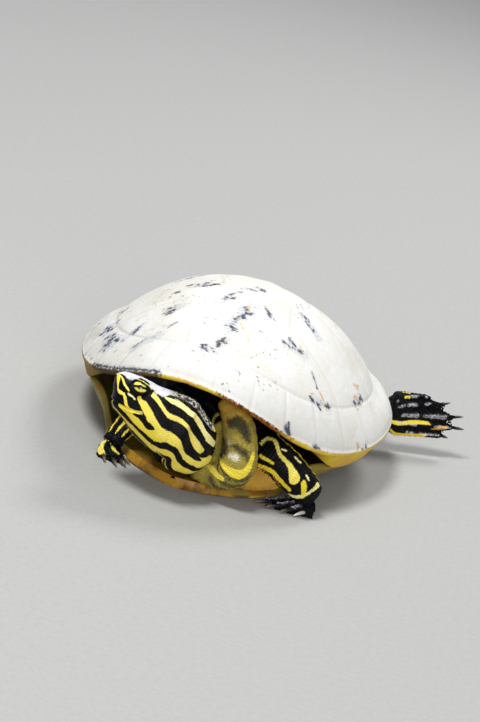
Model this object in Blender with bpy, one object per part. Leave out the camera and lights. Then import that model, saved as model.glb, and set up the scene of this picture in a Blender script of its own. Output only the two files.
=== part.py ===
"""A pond slider turtle at life size, resting on its belly.

Metres, +Z up. The turtle faces -Y and its left side is +X. The origin is on the floor under
the middle of the shell. The head is turned to the turtle's right and lifted, and the left
hind leg is stretched out behind. Routes and outlines are written in millimetres.
"""

import math

import bmesh
import bpy
import numpy as np

MM = 0.001
GAP = 0.35  # clearance that parts each solid from its neighbour, mm
WELD = 0.00001  # points a Boolean leaves this near are made one, m

# Shell, in mm
SHELL_LENGTH = 220.0
SHELL_WIDTH = 168.0
REAR_WIDENING = 0.075  # share by which the outline is wider behind its middle
SIDE_ROUNDNESS = 0.92  # exponent of the outline's sine; lower is boxier
SIDE_RIM = 30.0  # height of the rim at the sides
FRONT_RIM_RISE = 30.0
FRONT_ARCH = 3.56  # exponent of the front rim's rise; higher keeps it to the middle
REAR_RIM_RISE = 4.0
DOME_RISE = 58.5  # of the top above the side rim
APEX_FORWARD = 9.8
# Exponents of the dome's profile towards the sides, the front and the rear
DOME_ROUND = (1.77, 2.10, 1.475)
DOME_SHOULDER = (0.824, 0.70, 0.887)
REAR_HOLLOW = 3.2  # the dome's dip ahead of the rear marginals
HOLLOW_SHARE = 0.82
HOLLOW_SPREAD = 0.16
SHELL_WALL = 5.0
EDGE_DEPTH = 3.0  # height of the marginals' outer edge
LIP_SHARE = 0.885  # where the marginals' underside ends, as a share of the outline
BRIDGE_LIP_SHARE = 0.935  # the same along the bridge, where that underside is steep
BRIDGE_DROP = 8.4  # of the underside's inner end below the edge, along the bridge
TRUNK_CLEARANCE = 2.0  # of the body under the dome
LIP_DROP = 1.0  # the same away from the bridge
MARGINALS = 12  # on each side, behind the nuchal
NUCHAL_HALF_ANGLE = 4.0  # degrees
REAR_NOTCH = 1.3  # depth of the notches between the rear marginals

# Plastron, in mm
PLASTRON_FRONT = -102.0
PLASTRON_REAR = 98.0
PLASTRON_WALL = 4.5
LOBE_HALF_WIDTH = 50.0
BRIDGE_FRONT = -55.0
BRIDGE_REAR = 40.0
BRIDGE_FADE = 10.0

# Head, in its own frame: stations run back from the nose tip, heights are above it
NOSE = (-39.0, -122.0, 55.2)
HEAD_YAW = 77.0  # from straight ahead towards the turtle's right
HEAD_PITCH = 12.0
HEAD_ROLL = 14.0  # left cheek up
HEAD_LENGTH = 35.7
# station, top, bottom, half width, height of the widest line
HEAD_STATIONS = (
    (0.3, -1.5, -4.3, 1.8, -2.8),
    (0.9, -0.3, -6.8, 3.4, -3.4),
    (2.3, 0.8, -9.8, 4.9, -4.3),
    (3.9, 1.6, -14.3, 6.3, -6.0),
    (6.0, 2.1, -17.6, 7.8, -7.5),
    (9.4, 2.5, -18.9, 9.6, -8.1),
    (13.2, 2.9, -20.1, 11.1, -8.3),
    (17.4, 3.0, -22.7, 12.6, -9.0),
    (22.1, 2.9, -24.9, 14.0, -10.3),
    (27.3, 3.6, -26.3, 15.0, -11.3),
    (32.0, 4.3, -27.1, 15.3, -12.0),
    (35.7, 4.7, -27.6, 15.0, -12.6),
)
MOUTH_FRONT = (-3.0, -14.3)  # station and height where the mouth line leaves the beak
MOUTH_CORNER = (20.2, -12.4)
EYE_RADIUS = 4.7
EYE_STATION = 13.2
EYE_HEIGHT = -1.4
EYE_OUT = 7.8  # of the eyeball's middle from the middle plane

CLAW_SIDES = 5
ACROSS_TOE = 3  # strips of the foot's surface for each toe
ALONG_FOOT = 5
OUTER_TOE_HALF = 2.6  # half width of a foot's outermost toes, mm
WEB_THICK = 1.5
CLAW_ROOT = 3.0  # length of a claw inside its toe
LIMB_SQUARENESS = 2.2
WEB_SHARE = 0.5  # depth of the web between two toes, as a share of their spread
CLAW_PIVOT = 8.0  # behind the ankle line; claws point away from it

COLOURS = {
    "shell": (0.78, 0.77, 0.70),
    "plastron": (0.80, 0.52, 0.12),
    "skin": (0.045, 0.045, 0.035),
    "eye": (0.72, 0.66, 0.08),
}
ROUGHNESS = {"shell": 0.55, "plastron": 0.45, "skin": 0.42, "eye": 0.06}


# ---------------------------------------------------------------- helpers


def unit(v):
    v = np.asarray(v, float)
    return v / np.linalg.norm(v)


def smoothstep(low, high, value):
    """0 below low, 1 above high, with a smooth run between."""
    t = np.clip((value - low) / (high - low), 0.0, 1.0)
    return t * t * (3 - 2 * t)


def material(kind):
    """The Principled material of one kind of surface."""
    made = bpy.data.materials.get(kind)
    if made is None:
        made = bpy.data.materials.new(kind)
        made.use_nodes = True
        shader = made.node_tree.nodes["Principled BSDF"]
        shader.inputs["Base Color"].default_value = (*COLOURS[kind], 1.0)
        shader.inputs["Roughness"].default_value = ROUGHNESS[kind]
        shader.inputs["Metallic"].default_value = 0.0
    return made


def add_object(name, points, faces, kind):
    """A mesh object from points in millimetres and faces, with its normals facing out."""
    mesh = bpy.data.meshes.new(name)
    mesh.from_pydata([tuple(np.asarray(p) * MM) for p in points], [], faces)
    shape = bmesh.new()
    shape.from_mesh(mesh)
    bmesh.ops.recalc_face_normals(shape, faces=shape.faces)
    shape.to_mesh(mesh)
    shape.free()
    mesh.shade_smooth()
    mesh.materials.append(material(kind))
    made = bpy.data.objects.new(name, mesh)
    bpy.context.scene.collection.objects.link(made)
    return made


def combine(obj, other, operation):
    """Applies a Boolean of obj with other, and then removes other."""
    modifier = obj.modifiers.new("combine", "BOOLEAN")
    modifier.operation = operation
    modifier.solver = "EXACT"
    modifier.object = other
    graph = bpy.context.evaluated_depsgraph_get()
    mesh = bpy.data.meshes.new_from_object(obj.evaluated_get(graph))
    obj.modifiers.clear()
    obj.data = mesh
    shape = bmesh.new()
    shape.from_mesh(mesh)
    bmesh.ops.remove_doubles(shape, verts=shape.verts, dist=WELD)
    bmesh.ops.dissolve_degenerate(shape, edges=shape.edges, dist=WELD)
    shape.to_mesh(mesh)
    shape.free()
    bpy.data.objects.remove(other)


def tube_faces(rings, sides):
    """Faces between closed rings of points, with a cap on each end."""
    faces = [tuple(range(sides))[::-1], tuple(range((rings - 1) * sides, rings * sides))]
    for ring in range(rings - 1):
        for k in range(sides):
            near, far = ring * sides, (ring + 1) * sides
            after = (k + 1) % sides
            faces.append((near + k, near + after, far + after, far + k))
    return faces


def limb(name, rows, towards, sides=14, grow=0.0):
    """A rounded limb along a route, with domed ends.

    Each row holds the middle (x, y, z), the half breadth and the half thickness. The
    thickness lies towards the given direction. grow swells it evenly, as for a cutter.
    """
    route = np.array(rows, float)
    middle = route[:, :3]
    along = np.gradient(middle, axis=0)
    angle = 2 * math.pi * np.arange(sides) / sides
    cosine = np.sign(np.cos(angle)) * np.abs(np.cos(angle)) ** (2 / LIMB_SQUARENESS)
    sine = np.sign(np.sin(angle)) * np.abs(np.sin(angle)) ** (2 / LIMB_SQUARENESS)
    rings = []
    last = len(route) - 1
    for i, (centre, direction) in enumerate(zip(middle, along)):
        direction = unit(direction)
        thick = unit(np.asarray(towards) - np.dot(towards, direction) * direction)
        broad = np.cross(direction, thick)
        breadth, thickness = route[i, 3] + grow, route[i, 4] + grow
        ring = np.outer(cosine * breadth, broad) + np.outer(sine * thickness, thick)
        if i in (0, last):
            outwards = -direction if i == 0 else direction
            dome = 0.45 * min(breadth, thickness)
            steps = [(0.0, 1.0), (0.6, 0.8), (1.0, 0.42)]
            steps = steps[::-1] if i == 0 else steps
            rings += [centre + outwards * dome * out + ring * share for out, share in steps]
        else:
            rings.append(centre + ring)
    return add_object(name, np.concatenate(rings), tube_faces(len(rings), sides), "skin")


def keep_largest(obj):
    """Drops the crumbs that a Boolean leaves beside the main piece."""
    shape = bmesh.new()
    shape.from_mesh(obj.data)
    unseen, pieces = set(shape.verts), []
    while unseen:
        piece, edge_of = set(), [unseen.pop()]
        while edge_of:
            vert = edge_of.pop()
            piece.add(vert)
            found = {e.other_vert(vert) for e in vert.link_edges} & unseen
            unseen -= found
            edge_of += found
        pieces.append(piece)
    largest = max(pieces, key=len)
    bmesh.ops.delete(shape, geom=[v for v in shape.verts if v not in largest], context="VERTS")
    shape.to_mesh(obj.data)
    shape.free()


# ---------------------------------------------------------------- shell


def outline(turn, share=1.0):
    """(x, y) of the shell's outline seen from above, turned from the front over the left."""
    c, s = math.cos(turn), math.sin(turn)
    x = math.copysign(abs(s) ** SIDE_ROUNDNESS, s) * SHELL_WIDTH / 2
    y = -share * c * SHELL_LENGTH / 2 - APEX_FORWARD * (1 - share**2)
    return share * x * (1 - REAR_WIDENING * c), y


def rim_height(turn):
    c = math.cos(turn)
    return SIDE_RIM + FRONT_RIM_RISE * max(c, 0) ** FRONT_ARCH + REAR_RIM_RISE * min(c, 0) ** 2


def dome_height(turn, share, inset=0.0):
    """Height of the dome over a share of the outline, or of its inside at a wall's inset."""
    inner = min(share / (1 - inset / (SHELL_WIDTH / 2)), 1.0)
    c = math.cos(turn)
    weights = (1 - c * c, c * c * (c > 0), c * c * (c <= 0))
    round_, shoulder = (
        sum(w * v for w, v in zip(weights, values)) for values in (DOME_ROUND, DOME_SHOULDER)
    )
    rise = (DOME_RISE - inset) * (1 - inner**round_) ** shoulder
    dip = REAR_HOLLOW * math.exp(-(((share - HOLLOW_SHARE) / HOLLOW_SPREAD) ** 2))
    dip *= smoothstep(-0.5, 0.5, -c) * (1 - share**8)
    return SIDE_RIM + (rim_height(turn) - SIDE_RIM) * share**3 + rise - dip


def on_bridge(y):
    """1 along the bridge, 0 along the lobes of the plastron."""
    front = smoothstep(BRIDGE_FRONT - BRIDGE_FADE, BRIDGE_FRONT + BRIDGE_FADE, y)
    rear = smoothstep(BRIDGE_REAR - BRIDGE_FADE, BRIDGE_REAR + BRIDGE_FADE, y)
    return front - rear


def lip_share(y):
    return LIP_SHARE + (BRIDGE_LIP_SHARE - LIP_SHARE) * on_bridge(y)


def lip_point(turn):
    """The inner end of the marginals' underside."""
    x, y = outline(turn, LIP_SHARE)
    for _ in range(4):
        x, y = outline(turn, lip_share(y))
    drop = LIP_DROP + (BRIDGE_DROP - LIP_DROP) * on_bridge(y)
    return x, y, rim_height(turn) - EDGE_DEPTH - drop


def notch(turn):
    """Share by which the outline is notched between the rear marginals."""
    degrees = abs(math.degrees(math.remainder(turn, 2 * math.pi)))
    if degrees < 110:
        return 0.0
    place = (degrees - NUCHAL_HALF_ANGLE) / (180 - NUCHAL_HALF_ANGLE) * MARGINALS
    near_seam = abs(place - round(place))
    depth = REAR_NOTCH * smoothstep(110, 135, degrees) * max(0.0, 1 - near_seam / 0.3)
    return depth / (SHELL_LENGTH / 2)


def make_carapace():
    """The upper shell: a dome over the outline, the marginals' edge, and a hollow inside."""
    segments = 64
    outer = (0.14, 0.31, 0.48, 0.63, 0.76, 0.87, 0.95, 0.99)
    inner = (0.82, 0.60, 0.30)
    rings = []
    turns = [2 * math.pi * k / segments for k in range(segments)]
    for share in outer:
        rings.append([(*outline(t, share), dome_height(t, share)) for t in turns])
    rim = [(*outline(t, 1 - notch(t)), rim_height(t)) for t in turns]
    rings.append(rim)
    rings.append([(0.995 * x, 0.995 * y, z - EDGE_DEPTH) for x, y, z in rim])
    rings.append([lip_point(t) for t in turns])
    for share in inner:
        rings.append([(*outline(t, share), dome_height(t, share, SHELL_WALL)) for t in turns])
    points = np.concatenate(rings)
    return add_object("carapace", points, tube_faces(len(rings), segments), "shell")


def lobe_half_width(y):
    """Half width of the plastron's flat part at a place along it."""
    if y < BRIDGE_FRONT:
        reach = (BRIDGE_FRONT - y) / (BRIDGE_FRONT - PLASTRON_FRONT)
        return LOBE_HALF_WIDTH * (1 - reach**1.5) ** 0.6
    if y > BRIDGE_REAR:
        reach = (y - BRIDGE_REAR) / (PLASTRON_REAR - BRIDGE_REAR)
        return LOBE_HALF_WIDTH * (1 - 0.16 * reach) * (1 - reach**4.5) ** (1 / 2.2)
    return LOBE_HALF_WIDTH


def lip_beside(y):
    """The left inner end of the marginals' underside at a place along the shell."""
    share = lip_share(y)
    reach = (y + APEX_FORWARD * (1 - share**2)) / (share * SHELL_LENGTH / 2)
    return lip_point(math.acos(min(max(-reach, -1.0), 1.0)))


def make_plastron():
    """The lower shell, flat underneath, with a bridge up to the marginals on each side."""
    ahead = BRIDGE_FRONT - PLASTRON_FRONT
    behind = PLASTRON_REAR - BRIDGE_REAR
    stations = [BRIDGE_FRONT - ahead * s for s in (0.995, 0.96, 0.88, 0.74, 0.56, 0.36, 0.16)]
    stations += list(np.linspace(BRIDGE_FRONT, BRIDGE_REAR, 8))
    stations += [BRIDGE_REAR + behind * s for s in (0.25, 0.52, 0.76, 0.92, 0.99)]
    rings = []
    for y in stations:
        half = lobe_half_width(y)
        bridge = float(on_bridge(y)) ** 0.8
        x_lip, _, z_lip = lip_beside(y)
        edge = half + bridge * (x_lip - 0.6 - half)
        z_edge = 2.4 + bridge * (z_lip - GAP - 2.4)
        flat = max(half - 4.0, 0.75 * half)
        thin = min(1.0, half / 12)
        side = [
            (0.0, 0.0),
            (flat, 0.0),
            (half, 0.9 + 0.6 * bridge),
            (0.5 * (half + edge), 1.4 + 0.42 * (z_edge - 1.4)),
            (edge, z_edge),
            (edge - 3.6 * bridge - 0.6, z_edge + 2.2 * bridge + 1.3 * (1 - bridge)),
            (0.5 * (half + edge) - 2.4, 1.8 + 0.42 * z_edge + PLASTRON_WALL * 0.7),
            (half - 3.0 * thin, PLASTRON_WALL),
            (0.0, PLASTRON_WALL),
        ]
        left = [(x, y, z) for x, z in side]
        right = [(-x, y, z) for x, z in side[-2:0:-1]]
        rings.append(left + right)
    sides = len(rings[0])
    plastron = add_object(
        "plastron", np.concatenate(rings), tube_faces(len(rings), sides), "plastron"
    )
    return plastron


def make_trunk():
    """The body inside the shell, which shows as skin between the limbs."""
    segments = 28
    turns = [2 * math.pi * k / segments for k in range(segments)]
    held_back = [1 - 0.16 * max(math.cos(t), 0) ** 2 for t in turns]
    floor = PLASTRON_WALL + 2 * GAP
    rings = []
    for share in (0.2, 1.0):
        low = [0.56 + 0.18 * abs(math.cos(t)) ** 3 for t in turns]
        places = zip(turns, low, held_back)
        rings.append([(*outline(t, share * k * b), floor) for t, k, b in places])
    places = zip(turns, held_back)
    rings.append([(*outline(t, 0.765 * b), lip_point(t)[2] + 3.0) for t, b in places])
    for share in (0.82, 0.62, 0.32):
        ring = []
        for t, b in zip(turns, held_back):
            height = dome_height(t, share * b, SHELL_WALL) - TRUNK_CLEARANCE
            ring.append((*outline(t, share * b - 0.005), height))
        rings.append(ring)
    points = np.concatenate(rings)
    return add_object("trunk", points, tube_faces(len(rings), segments), "skin")


# ---------------------------------------------------------------- head and neck


def head_axes():
    """Forward, left and up of the head."""
    yaw, pitch, roll = (math.radians(a) for a in (HEAD_YAW, HEAD_PITCH, HEAD_ROLL))
    level = np.array([-math.sin(yaw), -math.cos(yaw), 0.0])
    forward = math.cos(pitch) * level + np.array([0, 0, math.sin(pitch)])
    left = np.array([math.cos(yaw), -math.sin(yaw), 0.0])
    up = np.cross(forward, left)
    up = up if up[2] > 0 else -up
    return (
        forward,
        math.cos(roll) * left + math.sin(roll) * up,
        math.cos(roll) * up - math.sin(roll) * left,
    )


def head_point(station, height, aside=0.0):
    forward, left, up = head_axes()
    return np.array(NOSE) - station * forward + height * up + aside * left


def head_ring(station, top, bottom, half, wide_at, sides=22):
    """One closed section of the head: flat crown, round cheeks, narrow throat."""
    ring = []
    for k in range(sides):
        angle = 2 * math.pi * k / sides
        c, s = math.cos(angle), math.sin(angle)
        reach = (top - wide_at) if s > 0 else (wide_at - bottom)
        crown = 2.5 if s > 0 else 2.1
        aside = half * math.copysign(abs(c) ** (2 / crown), c)
        height = wide_at + reach * math.copysign(abs(s) ** (2 / crown), s)
        ring.append(head_point(station, height, aside))
    return ring


def head_block(points, name):
    """A guide solid over an outline of (station, height), right through the head."""
    reach = 30.0
    near = [head_point(s, h, reach) for s, h in points]
    far = [head_point(s, h, -reach) for s, h in points]
    return add_object(name, near + far, tube_faces(2, len(points)), "skin")


def make_eye(name, side, radius):
    """An eyeball, whose pole looks out to the side, slightly forward and up."""
    centre = head_point(EYE_STATION, EYE_HEIGHT, side * EYE_OUT)
    forward, left, up = head_axes()
    pole = unit(side * left + 0.22 * forward + 0.2 * up)
    across = unit(np.cross(pole, up))
    third = np.cross(pole, across)
    rings = []
    sides = 14
    for degrees in (10, 32, 54, 76, 98, 122, 148, 170):
        angle = math.radians(degrees)
        for k in range(sides):
            turn = 2 * math.pi * k / sides
            flat = math.cos(turn) * across + math.sin(turn) * third
            direction = math.cos(angle) * pole + math.sin(angle) * flat
            rings.append(centre + radius * direction)
    return add_object(name, rings, tube_faces(8, sides), "eye")


NECK_BEND = (
    ((-1.0, -112.6, 32.0), (0.80, 0.52, -0.20), 15.0, 12.0, 18.6),
    ((3.4, -106.8, 28.4), (0.45, 0.88, -0.12), 14.6, 12.0, 16.8),
    ((2.6, -100.5, 26.6), (0.0, 0.99, -0.05), 13.2, 12.4, 14.6),
    ((0.5, -91.5, 26.4), (-0.15, 1.0, 0.0), 12.2, 12.2, 12.6),
    ((-1.0, -80.0, 26.4), (-0.08, 1.0, 0.0), 11.6, 11.6, 11.8),
    ((-1.5, -68.0, 26.6), (0.0, 1.0, 0.0), 11.2, 11.2, 11.2),
)


def neck_rows(grow=0.0):
    """The neck's rings from behind the head, round the bend and into the shell.

    Each row holds a ring's middle, its direction, its half widths outside and inside the
    bend, and its half height.
    """
    forward, left, up = head_axes()
    back = -forward
    start = head_point(HEAD_LENGTH + GAP - grow, -11.4)
    bend = [
        (start, back, 14.9, 14.9, 16.0),
        (start + 5.0 * back - 0.3 * up, back + np.array([0, 0.1, 0]), 15.4, 13.8, 16.6),
        *NECK_BEND,
    ]
    rings = []
    sides = 20
    world_up = np.array([0.0, 0.0, 1.0])
    for i, (centre, direction, outside, inside, height) in enumerate(bend):
        centre = np.array(centre, float)
        direction = unit(direction)
        ratio = min(i / 3, 1.0)
        guide = unit((1 - ratio) * up + ratio * world_up)
        high = unit(guide - np.dot(guide, direction) * direction)
        out = np.cross(high, -direction)
        out = out if np.dot(out, (1 - ratio) * left + ratio * np.array([1, 0, 0])) > 0 else -out
        ring = []
        for k in range(sides):
            angle = 2 * math.pi * k / sides
            c, s = math.cos(angle), math.sin(angle)
            half = (outside if c > 0 else inside) + grow
            reach = math.copysign(abs(s) ** 0.9, s) * (height + grow)
            ring.append(centre + half * c * out + reach * high)
        rings.append(ring)
    rings.append([bend[-1][0] + (p - bend[-1][0]) * 0.7 + [0, 3.5, 0] for p in rings[-1]])
    return np.concatenate(rings), tube_faces(len(rings), sides)


def make_neck(name, grow=0.0):
    points, faces = neck_rows(grow)
    return add_object(name, points, faces, "skin")


# The roll of loose skin round the neck's root
FOLD_TOWARDS = (0.0, -1.0, 0.0)
FOLD = (
    (14, -91, 50.5, 6.0, 6.0),
    (22.0, -94, 42.0, 8.0, 7.0),
    (27.0, -96.0, 31.0, 9.2, 8.0),
    (28.5, -97.5, 20.5, 9.6, 8.2),
    (22.0, -97.0, 13.6, 7.4, 7.5),
    (6.0, -95.0, 12.6, 6.0, 7.0),
    (-8.0, -94, 14.0, 6.5, 7.0),
    (-15.0, -92, 24.0, 7.5, 7.0),
    (-15.0, -90, 36.0, 7.0, 6.5),
    (-9.0, -89, 46.0, 6.0, 5.5),
)


# ---------------------------------------------------------------- legs


FRONT_LEFT_ROUTE = (
    (29, -54, 22, 8.5, 7.5),
    (33.5, -67, 25.0, 9.5, 8.5),
    (38.5, -77.0, 26.6, 10.0, 9.0),
    (48.0, -79.0, 24.4, 9.6, 8.4),
    (57.0, -77.0, 19.0, 8.8, 7.4),
    (62.5, -73.5, 14.4, 8.2, 6.0),
    (65.8, -70.5, 11.0, 7.4, 4.8),
)
FRONT_RIGHT_ROUTE = (
    (-27, -54, 20, 8.5, 7.5),
    (-30, -66, 20, 9.0, 8.0),
    (-32.5, -75.5, 18.0, 8.2, 7.0),
    (-34.4, -83.0, 14.4, 7.2, 5.8),
    (-36.2, -88.2, 11.0, 6.2, 4.4),
)
HIND_LEFT_ROUTE = (
    (36, 48, 17.5, 10.0, 8.5),
    (49, 55, 17.6, 11.0, 8.3),
    (60.5, 60.5, 17.2, 9.6, 7.4),
    (69, 65.5, 18.2, 9.0, 6.0),
    (75.8, 70.2, 20.2, 8.4, 3.6),
)
HIND_RIGHT_ROUTE = (
    (-34, 48, 18, 10.0, 8.5),
    (-45, 53, 18, 10.5, 8.6),
    (-53, 58, 15.5, 9.6, 8.0),
    (-57.5, 63, 11.0, 8.6, 6.6),
    (-60, 67, 8.0, 8.0, 5.2),
)
TAIL = (
    (0, 78, 17, 9.0, 8.0),
    (0, 92, 15.5, 7.5, 6.8),
    (4, 104, 11.5, 5.2, 4.8),
    (11, 113, 7.0, 3.4, 3.2),
    (19, 119, 4.0, 2.2, 2.1),
    (26, 122, 2.6, 1.2, 1.2),
)
# Each limb's route, the way its thickness lies, and its number of sides
LIMBS = {
    "front_left_leg": (FRONT_LEFT_ROUTE, (0.1, -0.8, 0.55), 14),
    "front_right_leg": (FRONT_RIGHT_ROUTE, (-0.5, -0.5, 0.6), 14),
    "hind_left_leg": (HIND_LEFT_ROUTE, (0.5, -0.8, 0.25), 14),
    "hind_right_leg": (HIND_RIGHT_ROUTE, (-0.2, -0.2, 0.9), 14),
    "tail": (TAIL, (0, 0, 1), 10),
}
# Each foot starts at the middle of its ankle line and runs along its heading. Toe ends are
# (forward, aside), aside being towards the fifth toe on left feet and the first on right ones.
# A claw length of 0 leaves that toe without a claw.
FEET = {
    "front_left_foot": {
        "leg": "front_left_leg",
        "origin": (67.0, -66.5, 0),
        "heading": (-0.84, -0.54, 0),
        "dorsal": (0, 0, 1),
        "ends": ((6.5, 6.8), (13.8, 5.8), (20.3, 3.2), (25.0, -0.6), (19.0, -4.4)),
        "claws": (6.0, 6.0, 6.0, 6.0, 4.5),
        "ankle_half": 8.8,
        "ankle_thick": 10.8,
        "toe_thick": 4.6,
        "flat_sole": True,
    },
    "front_right_foot": {
        "leg": "front_right_leg",
        "origin": (-39.3, -90.4, 0),
        "heading": (0.80, -0.60, 0),
        "dorsal": (0, 0, 1),
        "ends": ((6.0, 5.6), (10.5, 4.0), (13.0, 0.3), (12.0, -4.0), (7.5, -7.0)),
        "claws": (4.0, 5.0, 5.0, 5.0, 4.5),
        "ankle_half": 6.6,
        "ankle_thick": 10.0,
        "toe_thick": 4.2,
        "flat_sole": True,
    },
    "hind_left_foot": {
        "leg": "hind_left_leg",
        "origin": (75.2, 70.0, 20.8),
        "heading": (0.82, 0.57, 0.0),
        "dorsal": (0.56, -0.79, 0.24),
        "ends": ((23.7, 12.6), (33.6, 9.6), (42.0, 3.4), (43.8, -2.8), (36.7, -8.4)),
        "claws": (0, 5.0, 6.5, 6.8, 5.0),
        "ankle_half": 12.5,
        "ankle_thick": 9.5,
        "toe_thick": 4.2,
        "flat_sole": False,
    },
    "hind_right_foot": {
        "leg": "hind_right_leg",
        "origin": (-60.0, 68.0, 0),
        "heading": (-0.30, 0.95, 0),
        "dorsal": (0, 0, 1),
        "ends": ((21.0, 15.3), (30.6, 9.4), (34.0, 0.0), (30.6, -9.4), (21.0, -15.3)),
        "claws": (5.0, 6.0, 6.0, 5.0, 0),
        "ankle_half": 9.0,
        "ankle_thick": 9.5,
        "toe_thick": 4.2,
        "flat_sole": True,
    },
}


def foot_frame(origin, heading, towards):
    """Origin, forward, side and dorsal directions of a foot."""
    forward = unit(heading)
    dorsal = unit(np.asarray(towards) - np.dot(towards, forward) * forward)
    return np.array(origin, float), forward, np.cross(dorsal, forward), dorsal


def toe_end(ends, toe):
    """End of the foot's surface on a ray that lies this many toes along, and its web share."""
    near = min(max(int(round(toe)), 0), len(ends) - 1)
    off = abs(toe - near)  # 0 on a toe's middle, 0.5 in the web
    web = min(off * 2, 1.0)
    other = near + (1 if toe > near else -1)
    if 0 <= other < len(ends):
        end = ends[near] * (1 - off) + ends[other] * off
        spread = np.linalg.norm(ends[near] - ends[other])
        return end - np.array([WEB_SHARE * spread, 0.0]) * web**1.5, web
    inwards = near + (1 if near == 0 else -1)
    return ends[near] + unit(ends[near] - ends[inwards]) * OUTER_TOE_HALF * web, web


def make_foot(name, spec):
    """A webbed foot: toes run from the ankle line to their ends, and claws grow from them."""
    origin, forward, side, dorsal = foot_frame(spec["origin"], spec["heading"], spec["dorsal"])
    ends = [np.array(end) for end in spec["ends"]]
    ankle_half, ankle_thick, toe_thick = (
        spec[key] for key in ("ankle_half", "ankle_thick", "toe_thick")
    )
    strips = ACROSS_TOE * len(ends)
    top, bottom = [], []
    for i in range(ALONG_FOOT + 1):
        u = i / ALONG_FOOT
        for j in range(strips + 1):
            end, web = toe_end(ends, j / ACROSS_TOE - 0.5)
            start = np.array([0.0, ankle_half * (1 - 2 * j / strips)])
            place = start + (end - start) * u
            ease = u * u * (3 - 2 * u)
            ridge = ankle_thick + (toe_thick - ankle_thick) * (1 - (1 - u) ** 1.8)
            edge = abs(2 * j / strips - 1)
            rounded = ridge * math.sqrt(max(1 - (0.9 * edge) ** 4, 0.0))
            thick = rounded * (1 - ease) + ease * (ridge - (ridge - WEB_THICK) * web)
            thick = max(thick * (1 - 0.12 * u**6), 0.8 * WEB_THICK)
            flat = origin + forward * place[0] + side * place[1]
            low = 0.0 if spec["flat_sole"] else -0.5 * thick
            top.append(flat + dorsal * (low + thick))
            bottom.append(flat + dorsal * low)
    points = top + bottom
    row = strips + 1
    under = len(top)
    faces = []
    for i in range(ALONG_FOOT):
        for j in range(strips):
            a, b, c, d = i * row + j, i * row + j + 1, (i + 1) * row + j + 1, (i + 1) * row + j
            faces += [(a, b, c, d), (under + d, under + c, under + b, under + a)]
        for j in (0, strips):
            a, d = i * row + j, (i + 1) * row + j
            faces.append((a, d, under + d, under + a))
    for i in (0, ALONG_FOOT):
        for j in range(strips):
            a, b = i * row + j, i * row + j + 1
            faces.append((a, b, under + b, under + a))
    foot = add_object(name, points, faces, "skin")
    for end, claw_length in zip(ends, spec["claws"]):
        if claw_length:
            base = 0.5 * toe_thick if spec["flat_sole"] else 0.0
            start = origin + forward * end[0] + side * end[1] + dorsal * base
            ray = unit(forward * (end[0] + CLAW_PIVOT) + side * end[1])
            drop = 0.5 * toe_thick - 0.9 if spec["flat_sole"] else 1.6
            root = start - ray * CLAW_ROOT
            claw = make_claw(root, ray, dorsal, claw_length + CLAW_ROOT, drop)
            combine(foot, claw, "UNION")
    return foot


def make_claw(base, ray, dorsal, length, drop):
    """A curved claw, tapering to a blunt point that bends down."""
    aside = np.cross(dorsal, ray)
    rings = []
    for share, radius in ((0.0, 0.8), (0.35, 1.15), (0.62, 0.95), (0.85, 0.6), (1.0, 0.25)):
        centre = base + ray * length * share - dorsal * drop * share**2.2
        for k in range(CLAW_SIDES):
            turn = 2 * math.pi * (k + 0.5) / CLAW_SIDES
            rings.append(
                centre + radius * (math.cos(turn) * aside * 0.85 + math.sin(turn) * dorsal)
            )
    return add_object("claw", rings, tube_faces(5, CLAW_SIDES), "skin")


def main():
    for obj in list(bpy.data.objects):
        bpy.data.objects.remove(obj)

    make_carapace()
    make_plastron()
    trunk = make_trunk()

    # Head, jaw and eyes
    rings = np.concatenate([head_ring(*station) for station in HEAD_STATIONS])
    head = add_object("head", rings, tube_faces(len(HEAD_STATIONS), 22), "skin")
    jaw_outline = [MOUTH_FRONT, MOUTH_CORNER, (24.0, -40.0), (-3.0, -40.0)]
    jaw = add_object("lower_jaw", rings, tube_faces(len(HEAD_STATIONS), 22), "skin")
    combine(jaw, head_block(jaw_outline, "jaw_guide"), "INTERSECT")
    mouth = [
        (MOUTH_FRONT[0], MOUTH_FRONT[1] + GAP),
        (MOUTH_CORNER[0] + GAP, MOUTH_CORNER[1] + GAP),
        (24.0 + 2 * GAP, -40.0),
        (-3.0, -40.0),
    ]
    combine(head, head_block(mouth, "mouth_guide"), "DIFFERENCE")
    for name, side in (("eye_left", 1), ("eye_right", -1)):
        make_eye(name, side, EYE_RADIUS)
        combine(head, make_eye("socket", side, EYE_RADIUS + GAP), "DIFFERENCE")

    # Neck and the roll of loose skin round its root
    make_neck("neck")
    fold = limb("neck_fold", FOLD, FOLD_TOWARDS, sides=12)
    combine(fold, make_neck("cutter", GAP), "DIFFERENCE")
    combine(trunk, make_neck("cutter", GAP), "DIFFERENCE")
    combine(trunk, limb("cutter", FOLD, FOLD_TOWARDS, sides=12, grow=GAP), "DIFFERENCE")

    # Legs, feet and tail
    for name, (route, towards, sides) in LIMBS.items():
        limb(name, route, towards, sides=sides)
        combine(trunk, limb("cutter", route, towards, sides=sides, grow=GAP), "DIFFERENCE")
    for name, spec in FEET.items():
        foot = make_foot(name, spec)
        route, towards, sides = LIMBS[spec["leg"]]
        combine(foot, limb("cutter", route, towards, sides=sides, grow=GAP), "DIFFERENCE")
        keep_largest(foot)
    for body in (trunk, fold):
        keep_largest(body)


main()
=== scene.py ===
"""Visual model of a resting pond slider turtle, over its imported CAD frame.

Lengths are in millimetres until a mesh is made. The animal faces -Y and its left is +X.
"""

import math

import bmesh
import bpy
import numpy as np
from mathutils import Matrix, Vector
from mathutils.bvhtree import BVHTree


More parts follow.
